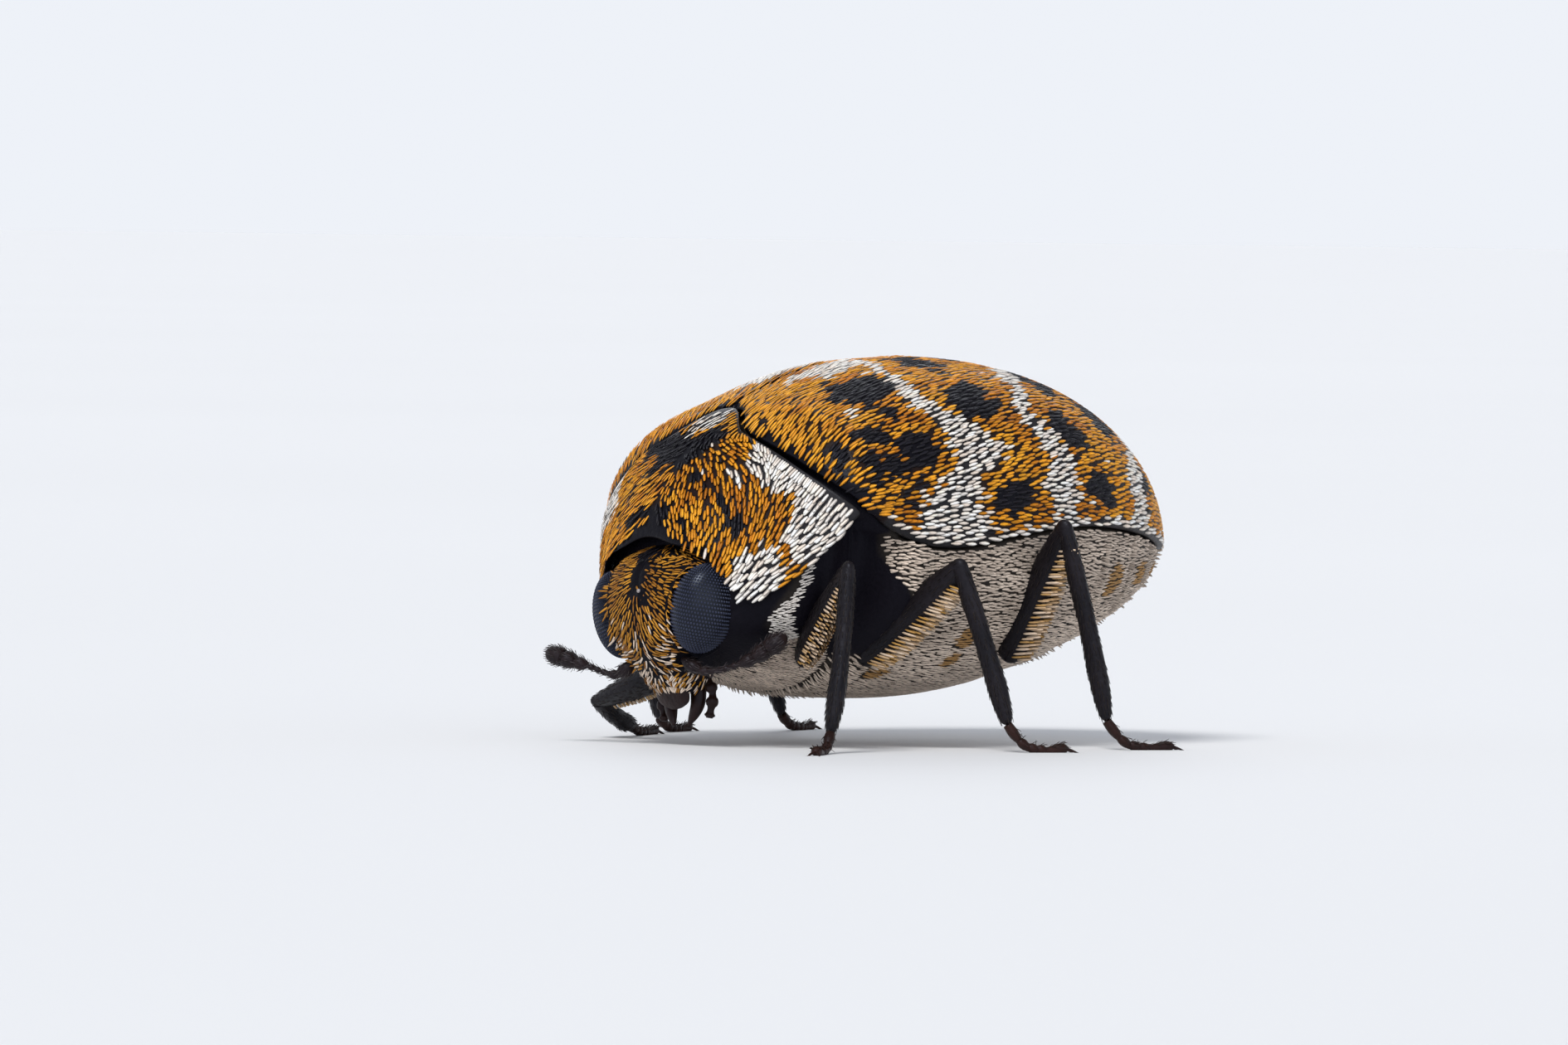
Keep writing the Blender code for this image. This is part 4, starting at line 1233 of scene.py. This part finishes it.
def make_ocellus():
    """The single small eye on the forehead."""
    spot = head_surface(np.array(OCELLUS[1]), np.array(OCELLUS_SPIN))
    spin = circle(20)
    rings = [
        spot + np.stack([0.009 * math.sin(a) * np.cos(spin), 0 * spin - 0.008 * math.cos(a) + 0.002,
                         0.009 * math.sin(a) * np.sin(spin)], -1)
        for a in np.linspace(0.15, math.pi - 0.15, 12)
    ]
    thing = piece("ocellus", *tube(rings), None, BEAD)


# Mouthparts and antennae

LIP = ((0, 0, 0.125, -0.72), (1, 0, 0.135, -0.765), (2, 0, 0.15, -0.80))
LIP_WIDTHS = (0.1, 0.105, 0.1, 0.085, 0.055)
LIP_THICK = 0.028
JAW = ((0, 0.085, 0.20, -0.70), (1, 0.088, 0.19, -0.79), (2, 0.050, 0.17, -0.875))
JAW_THICK = through((0, 0.040), (0.5, 0.034), (0.8, 0.022), (1, 0.008))
PALP = ((0, 0.13, 0.21, -0.67), (1, 0.165, 0.21, -0.75), (2, 0.150, 0.20, -0.85))
PALP_THICK, PALP_SWELL = 0.021, 0.006
PALP_WAVES = 6 * math.pi
# An antenna's place and half-thickness along it, and where its joints are cut in
ANTENNA_JOINTS = (
    (0.00, 0.018), (0.045, 0.034), (0.09, 0.034), (0.115, 0.020), (0.14, 0.026), (0.165, 0.020),
    (0.185, 0.013), (0.205, 0.017), (0.225, 0.013), (0.245, 0.017), (0.265, 0.013), (0.285, 0.018),
    (0.305, 0.015), (0.335, 0.030), (0.365, 0.035), (0.380, 0.032), (0.41, 0.043), (0.44, 0.047),
    (0.455, 0.044), (0.49, 0.051), (0.53, 0.047), (0.56, 0.030), (0.575, 0.010),
)
ANTENNA_CUTS = (0.105, 0.165, 0.225, 0.265, 0.305, 0.382, 0.458)
CUT_DEPTH = 0.22


def limb_piece(name, parts, colour):
    points, faces = joined(parts)
    shade = 1 + 0.25 * broad(points) + 0.2 * mottle(points)
    return piece(name, points, faces, np.clip(colour * shade[:, None], 0, 1), LIMB)


def notched(thick, places, cuts, reach):
    """The thickness along a limb, drawn in at its cuts."""
    for cut in cuts:
        thick = thick * (1 - CUT_DEPTH * bell(places, cut, reach))
    return thick


def make_lip():
    place = np.linspace(0, 1, 30)
    wide = through(*zip(np.linspace(0, 1, len(LIP_WIDTHS)), LIP_WIDTHS))(place) * (1 - place**8 * 0.35)
    rings = tube_rings(smooth_path(LIP, 30), wide, LIP_THICK * (1 - 0.4 * place), 30, (0, 1, 0))
    thing = limb_piece("lip", [tube(rings)], LIMB_BROWN * 0.38)
    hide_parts("labrum")


def make_jaw(word, side):
    thick = JAW_THICK(np.linspace(0, 1, 30))
    rings = tube_rings(smooth_path(on_side(JAW, side), 30), thick, thick * 0.8, 18, (0, 1, 0))
    thing = limb_piece("jaw_" + word, [tube(rings)], LIMB_BROWN * 0.35)
    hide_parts("mandible_" + word)


def make_palp(word, side):
    place = np.linspace(0, 1, 60)
    wave = signed_power(np.cos(place * PALP_WAVES), 0.6)
    thick = (PALP_THICK + PALP_SWELL * wave) * np.clip((1 - place) / 0.06, 0.3, 1) ** 0.5
    rings = tube_rings(smooth_path(on_side(PALP, side), 60), thick, thick, 16, (0, 1, 0))
    thing = limb_piece("feeler_palp_" + word, [tube(rings)], LIMB_BROWN * 0.32)
    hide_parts("palp_" + word)


def antenna_rings(stations):
    path = smooth_path(stations, 200)
    reach = np.r_[0, np.cumsum(np.linalg.norm(np.diff(path, axis=0), axis=1))]
    joints = np.array(ANTENNA_JOINTS)
    places = np.linspace(0, 1, 150)
    line = np.stack([np.interp(places * reach[-1], reach, path[:, k]) for k in range(3)], -1)
    thick = through(*zip(joints[:, 0] / joints[-1, 0], joints[:, 1]))(places)
    thick = notched(thick, places * joints[-1, 0], ANTENNA_CUTS, 0.0045)
    return tube_rings(line, thick, thick * 0.8, 20)


def make_antenna(name, stations):
    thing = limb_piece("feeler_" + name, [tube(antenna_rings(stations))], FEELER_DARK)
    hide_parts(name)


# Legs: hip, knee, ankle and the toe's place on the floor

LEGS = {
    "front_left": ((0.44, 0.47, -0.63), (0.90, 0.36, -0.26), (0.95, 0.19, -0.95), (1.11, -0.03, 0)),
    "front_right": ((-0.30, 0.42, -0.62), (-0.81, 0.39, -0.74), (-0.93, 0.66, -0.845), (-1.08, 0.92, 0)),
    "middle_left": ((0.50, 0.74, -0.63), (1.04, 0.86, -0.26), (1.15, 1.00, -0.93), (1.25, 1.24, 0)),
    "middle_right": ((-0.50, 0.76, -0.60), (-1.08, 0.90, -0.24), (-1.22, 1.06, -0.81), (-1.32, 1.31, 0)),
    "hind_left": ((0.62, 1.46, -0.64), (1.08, 1.42, -0.10), (1.10, 1.60, -0.92), (1.20, 1.88, 0)),
    "hind_right": ((-0.62, 1.46, -0.64), (-1.08, 1.45, -0.11), (-1.16, 1.70, -0.80), (-1.27, 1.97, 0)),
}
THIGH = through((0, 0.045), (0.15, 0.070), (0.45, 0.076), (0.8, 0.058), (1, 0.040))
SHIN = through((0, 0.041), (0.1, 0.043), (0.5, 0.043), (0.9, 0.040), (1, 0.026))
FOOT_JOINTS = (
    (0.0, 0.024), (0.10, 0.028), (0.18, 0.020), (0.25, 0.026), (0.33, 0.019), (0.40, 0.025),
    (0.48, 0.019), (0.55, 0.024), (0.62, 0.018), (0.78, 0.022), (0.93, 0.026), (1.0, 0.014),
)
FOOT_SLOPE = through((0, 0.0), (0.12, 0.45), (0.3, 0.9), (0.45, 1.0), (1, 1.0))
FOOT_SINK = 0.75
FOOT_THIN = 0.017
FOOT_CUTS = (0.18, 0.33, 0.48, 0.62)
THIGH_FLATNESS = 0.68
SHIN_FLATNESS, SHIN_BOW = 0.85, 0.012
CLAW_REACH, CLAW_SPREAD, CLAW_DROP = 0.075, 0.030, 0.026
CLAW_THICK, CLAW_TAPER = 0.0075, 0.80
KNEE = 0.0400


def leg_joints(leg):
    """Hip, knee and ankle, and the way square to the leg's plane."""
    hip, knee, ankle = (np.array(place) for place in leg[:3])
    across = np.cross(knee - hip, ankle - knee)
    return hip, knee, ankle, across / np.linalg.norm(across)


def rounded_end(share, part=0.05):
    """Closes a limb like a dome where share is 0."""
    start = np.clip(share / part, 0.002, 1)
    return np.sqrt(1 - (1 - start) ** 2)


def thigh_rings(leg):
    hip, knee, ankle, across = leg_joints(leg)
    share = eased(60)
    wide = THIGH(share) * rounded_end(share)
    return tube_rings(hip + np.outer(share, knee - hip), wide, wide * THIGH_FLATNESS, 28, across)


def shin_rings(leg):
    hip, knee, ankle, across = leg_joints(leg)
    share = eased(60)
    path = knee + np.outer(share, ankle - knee) + np.outer(np.sin(share * math.pi) * SHIN_BOW, across)
    wide = SHIN(share) * rounded_end(1 - share, 0.04) * 0.93
    return tube_rings(path, wide, wide * SHIN_FLATNESS, 24, across)


def knee_ball(leg):
    """The rounded joint between thigh and shin."""
    hip, knee, ankle, across = leg_joints(leg)
    level = np.linspace(0.1, math.pi - 0.1, 14)
    line = knee - np.outer(np.cos(level), across) * KNEE * THIGH_FLATNESS
    return tube(tube_rings(line, KNEE * np.sin(level), KNEE * np.sin(level), 24, unit(knee - hip)))


def stood(parts):
    """Presses what would reach under the floor flat onto it."""
    for points, faces in parts:
        points[:, 2] = np.maximum(points[:, 2], floor_height(points[:, 0]))
    return parts


def foot_path(leg):
    """A foot's middle line, its half-thickness and its way along the floor."""
    ankle, toe = (np.array(place) for place in leg[2:])
    share = np.linspace(0, 1, 110)
    thick = through(*FOOT_JOINTS)(share)
    thick = np.minimum(thick, 0.65 * thick + 0.35 * FOOT_THIN)
    thick = notched(thick, share, FOOT_CUTS, 0.010)
    along = (toe - ankle) * (1, 1, 0)
    path = ankle + np.outer(share, along)
    lying = floor_height(path[:, 0]) + thick * FOOT_SINK
    path[:, 2] += FOOT_SLOPE(share) * (lying - ankle[2])
    return path, thick, along / np.linalg.norm(along)


def foot_rings(leg):
    path, thick, ahead = foot_path(leg)
    return tube_rings(path, thick, thick * 0.95, 18)


def foot_parts(leg):
    path, thick, ahead = foot_path(leg)
    parts = [tube(foot_rings(leg))]
    across = np.cross((0, 0, 1), ahead)
    reach = np.linspace(0, 1, 16)
    hooked = np.sin(reach * QUARTER)
    thin = CLAW_THICK * (1 - CLAW_TAPER * reach)
    for side in (LEFT, RIGHT):
        line = path[-6] + np.outer(reach * CLAW_REACH, ahead) + np.outer(hooked * CLAW_SPREAD * side, across)
        line[:, 2] -= hooked**2 * CLAW_DROP
        parts.append(tube(tube_rings(line, thin, thin, 10)))
    return stood(parts)


def make_leg(which, leg):
    shin = stood([tube(shin_rings(leg)), knee_ball(leg)])
    for word, parts, colour, bone, slot in (
        ("thigh_", [tube(thigh_rings(leg))], LIMB_BLACK, "_femur", "black_shell"),
        ("shin_", shin, LIMB_BLACK * 1.1, "_tibia", "black_shell"),
        ("foot_", foot_parts(leg), LIMB_BROWN * 0.55, "_tarsus", "brown_shell"),
    ):
        thing = limb_piece(word + which, parts, colour)
        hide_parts("leg_" + which + bone)


def limb_surface(rings):
    """A surface over rings by share along, 0 to 1, and spin in radians."""
    rings = np.asarray(rings)
    steps, sides = rings.shape[:2]
    looped = np.concatenate([rings, rings[:, :1]], 1)

    def surface(share, spin):
        k = np.clip(share, 0, 1) * (steps - 1)
        i = (spin / (2 * math.pi) % 1) * sides
        k0 = np.clip(k.astype(int), 0, steps - 2)
        i0 = np.clip(i.astype(int), 0, sides - 1)
        a, b = (k - k0)[..., None], (i - i0)[..., None]
        near = looped[k0, i0] * (1 - b) + looped[k0, i0 + 1] * b
        far = looped[k0 + 1, i0] * (1 - b) + looped[k0 + 1, i0 + 1] * b
        return near * (1 - a) + far * a

    return surface


def hairs_over(rings, pitch, spacing, kept):
    """Rows of root, direction, normal and place for hairs over one limb."""
    surface = limb_surface(rings)
    along, around = np.linspace(0.04, 0.96, 120), np.linspace(0, 2 * math.pi, 90)
    share, spin = laid_rows(surface, along, around, pitch, spacing, 0.3)
    point = surface(share, spin)
    way = unit(surface(share + 2 * STEP, spin) - surface(share - 2 * STEP, spin))
    middle = np.stack([surface(share, spin + k * QUARTER) for k in range(4)]).mean(0)
    normal = square_to(way, unit(point - middle))
    rows = np.hstack([point, way, normal, share[:, None], spin[:, None] / (2 * math.pi)])
    return rows[RANDOM.uniform(size=len(rows)) < kept]


FRINGE_ROWS = (0.58, 0.80, 0.96)
FRINGE_STEP = 0.0225


def fringe(leg):
    """The same for the scales along the lower edge of both faces of a thigh."""
    hip, knee, ankle, across = leg_joints(leg)
    way = unit(knee - hip)
    lower = np.cross(across, way)
    lower = -np.sign(lower[2]) * lower
    long = np.linalg.norm(knee - hip)
    step = FRINGE_STEP / long
    found = []
    for face in (LEFT, RIGHT):
        for row, height in enumerate(FRINGE_ROWS):
            share = np.arange(0.07 + 0.5 * (row % 2) * step, 0.89, step)
            share = share + RANDOM.normal(size=len(share)) * 0.15 * FRINGE_STEP / long
            half = THIGH(share)[:, None]
            root = hip + np.outer(share * long, way) + height * half * lower
            root = root + face * half * THIGH_FLATNESS * math.sqrt(1 - height**2) * across
            normal = unit(face * across + 0.35 * lower) + 0 * root
            ahead = 0.7 * way + lower + 0 * root
            found.append(np.hstack([root, ahead, normal, share[:, None], 0 * half + height]))
    return np.vstack(found)


def coat_rows(name, hairs, draw, dark, light, length, width, **form):
    """A coat piece in rows of root, direction, normal and place."""
    uv = patches((hairs[:, 10], 0, 1), (hairs[:, 9], 0, 1))
    rows = (hairs[:, :3], hairs[:, 3:6], hairs[:, 6:9], uv)
    return leaves(name, rows, mixed(dark, light, draw), HAIRY, length, width, sunk=0.003, **form)


def coat_hairs(name, hairs, dark, light, long, wide, lift):
    """A coat piece of short hairs."""
    draw = RANDOM.uniform(0, 1, len(hairs))
    size = 0.85 + 0.3 * draw
    return coat_rows(name, hairs, draw, dark, light, long * size, wide * size,
                     lift=lift, thick=0.0016, curl=2.0, widths=HAIR_WIDTHS)


def coat_legs():
    """Golden scales along the thighs' lower edges, and short dark hairs on thighs and shins."""
    gold = np.vstack([fringe(leg) for leg in LEGS.values()])
    draw = RANDOM.uniform(0, 1, len(gold))
    thing = coat_rows("coat_legs_gold", gold, draw * 0.75, STRAW, PEACH, 0.054 + 0.020 * draw,
                      0.0100 + 0.003 * draw, lift=0.012, thick=0.0018, curl=1.0)
    hairs = [
        hairs_over(rings(leg), pitch=0.032, spacing=0.017, kept=kept)
        for rings, kept in ((thigh_rings, 0.7), (shin_rings, 0.9))
        for leg in LEGS.values()
    ]
    thing = coat_hairs("coat_legs_dark", np.vstack(hairs), LIMB_BLACK, HAIR_BROWN,
                       long=0.035, wide=0.0050, lift=0.005)


def coat_feet():
    """Short bristles on the feet, but not under them."""
    hairs = np.vstack([
        hairs_over(foot_rings(leg), pitch=0.026, spacing=0.016, kept=0.9) for leg in LEGS.values()
    ])
    above = hairs[:, 2] - floor_height(hairs[:, 0])
    hairs = hairs[(above > 0.018) & (hairs[:, 8] > -0.1)]
    thing = coat_hairs("coat_feet", hairs, LIMB_BROWN, HAIR_BROWN,
                       long=0.026, wide=0.0042, lift=0.008)


def coat_feelers():
    """Fine grey down over the antennae."""
    hairs = np.vstack([
        hairs_over(antenna_rings(line), pitch=0.020, spacing=0.013, kept=0.9) for line in ANTENNAE
    ])
    thing = coat_hairs("coat_feelers", hairs, HAIR_BROWN, HAIR_GREY,
                       long=0.024, wide=0.0038, lift=0.009)


# Camera, lights and floor

LOOK_FROM_LEFT = math.radians(49.949)
LOOK_FROM_ABOVE = math.radians(-2.1)
ROLL = math.radians(-2.053)
CAMERA_AWAY = 60.0
CAMERA_AIM = (0.3, 1.0, -0.3)
AIM_RIGHT, AIM_UP = -0.3735, 0.2673
PIXELS_A_MM = 282.99
PHOTO_WIDTH = 1890
SENSOR = 36.0
CLIP = (1e-3, 20.0)
FLOOR_RADIUS = 3
SUN_AWAY = 40
HORIZON = (0.855, 0.885, 0.940)
OVERHEAD = (0.30, 0.32, 0.36)
# From which height of the sky to which it turns from the one to the other
FADE = (0.06, 0.60)


def camera_axes():
    """The camera's right, up and backward directions in the body frame."""
    a, e = LOOK_FROM_LEFT, LOOK_FROM_ABOVE
    back = np.array([math.sin(a) * math.cos(e), -math.cos(a) * math.cos(e), math.sin(e)])
    right = unit(np.cross([0, 0, 1.0], back))
    up = np.cross(back, right)
    tilted = right * math.cos(ROLL) + up * math.sin(ROLL)
    return tilted, up * math.cos(ROLL) - right * math.sin(ROLL), back


def aimed(thing, right, up, back, spot):
    """Places a camera or light at spot, in body millimetres, with these body-frame axes."""
    turned = np.stack([TURNED @ right, TURNED @ up, TURNED @ back], -1)
    matrix = Matrix(turned.tolist()).to_4x4()
    matrix.translation = placed(spot).tolist()
    thing.matrix_world = matrix


def make_camera():
    right, up, back = camera_axes()
    data = bpy.data.cameras.new("camera")
    data.sensor_width = SENSOR
    data.lens = PIXELS_A_MM * CAMERA_AWAY * SENSOR / PHOTO_WIDTH
    data.clip_start, data.clip_end = CLIP
    camera = in_scene("camera", data)
    spot = np.array(CAMERA_AIM) + AIM_RIGHT * right + AIM_UP * up + CAMERA_AWAY * back
    aimed(camera, right, up, back, spot)
    bpy.context.scene.camera = camera


def make_floor():
    made = principled(
        "floor", (0.80, 0.81, 0.83), roughness=0.8, scale=0.05, roughnesses=(0.6, 0.8), detail=2,
        Specular_IOR_Level=0.1,
    )[0]
    mesh = bpy.data.meshes.new("floor")
    spin = circle(64)
    points = np.stack([FLOOR_RADIUS * np.cos(spin), FLOOR_RADIUS * np.sin(spin), 0 * spin], -1)
    mesh.from_pydata(points.tolist(), [], [list(range(64))])
    mesh.materials.append(made)
    floor = in_scene("floor", mesh)


def sun(name, towards, strength, spread, colour):
    """A broad even light from far off: towards points to it and spread is its width in degrees."""
    data = bpy.data.lights.new(name, "SUN")
    data.energy = strength
    data.angle = math.radians(spread)
    data.color = colour
    back = unit(np.array(towards, float))
    right = unit(np.cross([0, 0.1, 1.0], back))
    aimed(in_scene(name, data), right, np.cross(back, right), back, SUN_AWAY * back)


def make_world():
    """Pale at the horizon, like the floor, and darker overhead."""
    world = bpy.data.worlds.new("studio")
    bpy.context.scene.world = world
    world.use_nodes = True
    tree = world.node_tree
    place = new_node(tree, "TexCoord").outputs["Generated"]
    height = new_node(tree, "SeparateXYZ", Vector=place).outputs["Z"]
    fade = new_node(tree, "MapRange", Value=height, From_Min=FADE[0], From_Max=FADE[1])
    fade.interpolation_type = "SMOOTHSTEP"
    ramp = new_node(tree, "Mix")
    ramp.data_type = "RGBA"
    set_inputs(tree, ramp, A=(*HORIZON, 1), B=(*OVERHEAD, 1), Factor=fade.outputs["Result"])
    set_inputs(tree, tree.nodes["Background"], Color=ramp.outputs["Result"])


def make_light():
    sun("key", (0.30, -0.55, 0.80), 2.1, 22, (1.0, 0.98, 0.95))
    sun("fill", (0.90, -0.50, 0.12), 0.60, 60, (0.97, 0.98, 1.0))
    sun("rim", (-0.7, 0.6, 0.6), 0.5, 30, (0.92, 0.96, 1.0))
    make_world()
    bpy.context.scene.view_settings.view_transform = "Standard"


def make_object():
    make_pronotum()
    coat_pronotum()
    for name, side in (("elytron_left", LEFT), ("elytron_right", RIGHT)):
        make_elytron(name, side)
        coat_elytron(name, side)
    make_trunk()
    coat_trunk("coat_breast", 0.13, 0.555, 0.5, BREAST_SCALES, slant=-0.45)
    coat_trunk("coat_thorax", 0.56, 1.52, 0.4, FLANK_SCALES, slant=0.06)
    coat_trunk("coat_abdomen", 1.57, 2.56, 0.4, FLANK_SCALES, slant=0.06)
    coat_tip()
    make_head()
    coat_head()
    make_eye("eye_left", LEFT)
    make_eye("eye_right", RIGHT)
    make_ocellus()
    make_lip()
    for word, side in (("left", LEFT), ("right", RIGHT)):
        make_jaw(word, side)
        make_palp(word, side)
    make_antenna("antenna_left", LEFT_ANTENNA)
    make_antenna("antenna_right", RIGHT_ANTENNA)
    for which, leg in LEGS.items():
        make_leg(which, leg)
    coat_legs()
    coat_feet()
    coat_feelers()


make_camera()
make_floor()
make_light()
make_object()
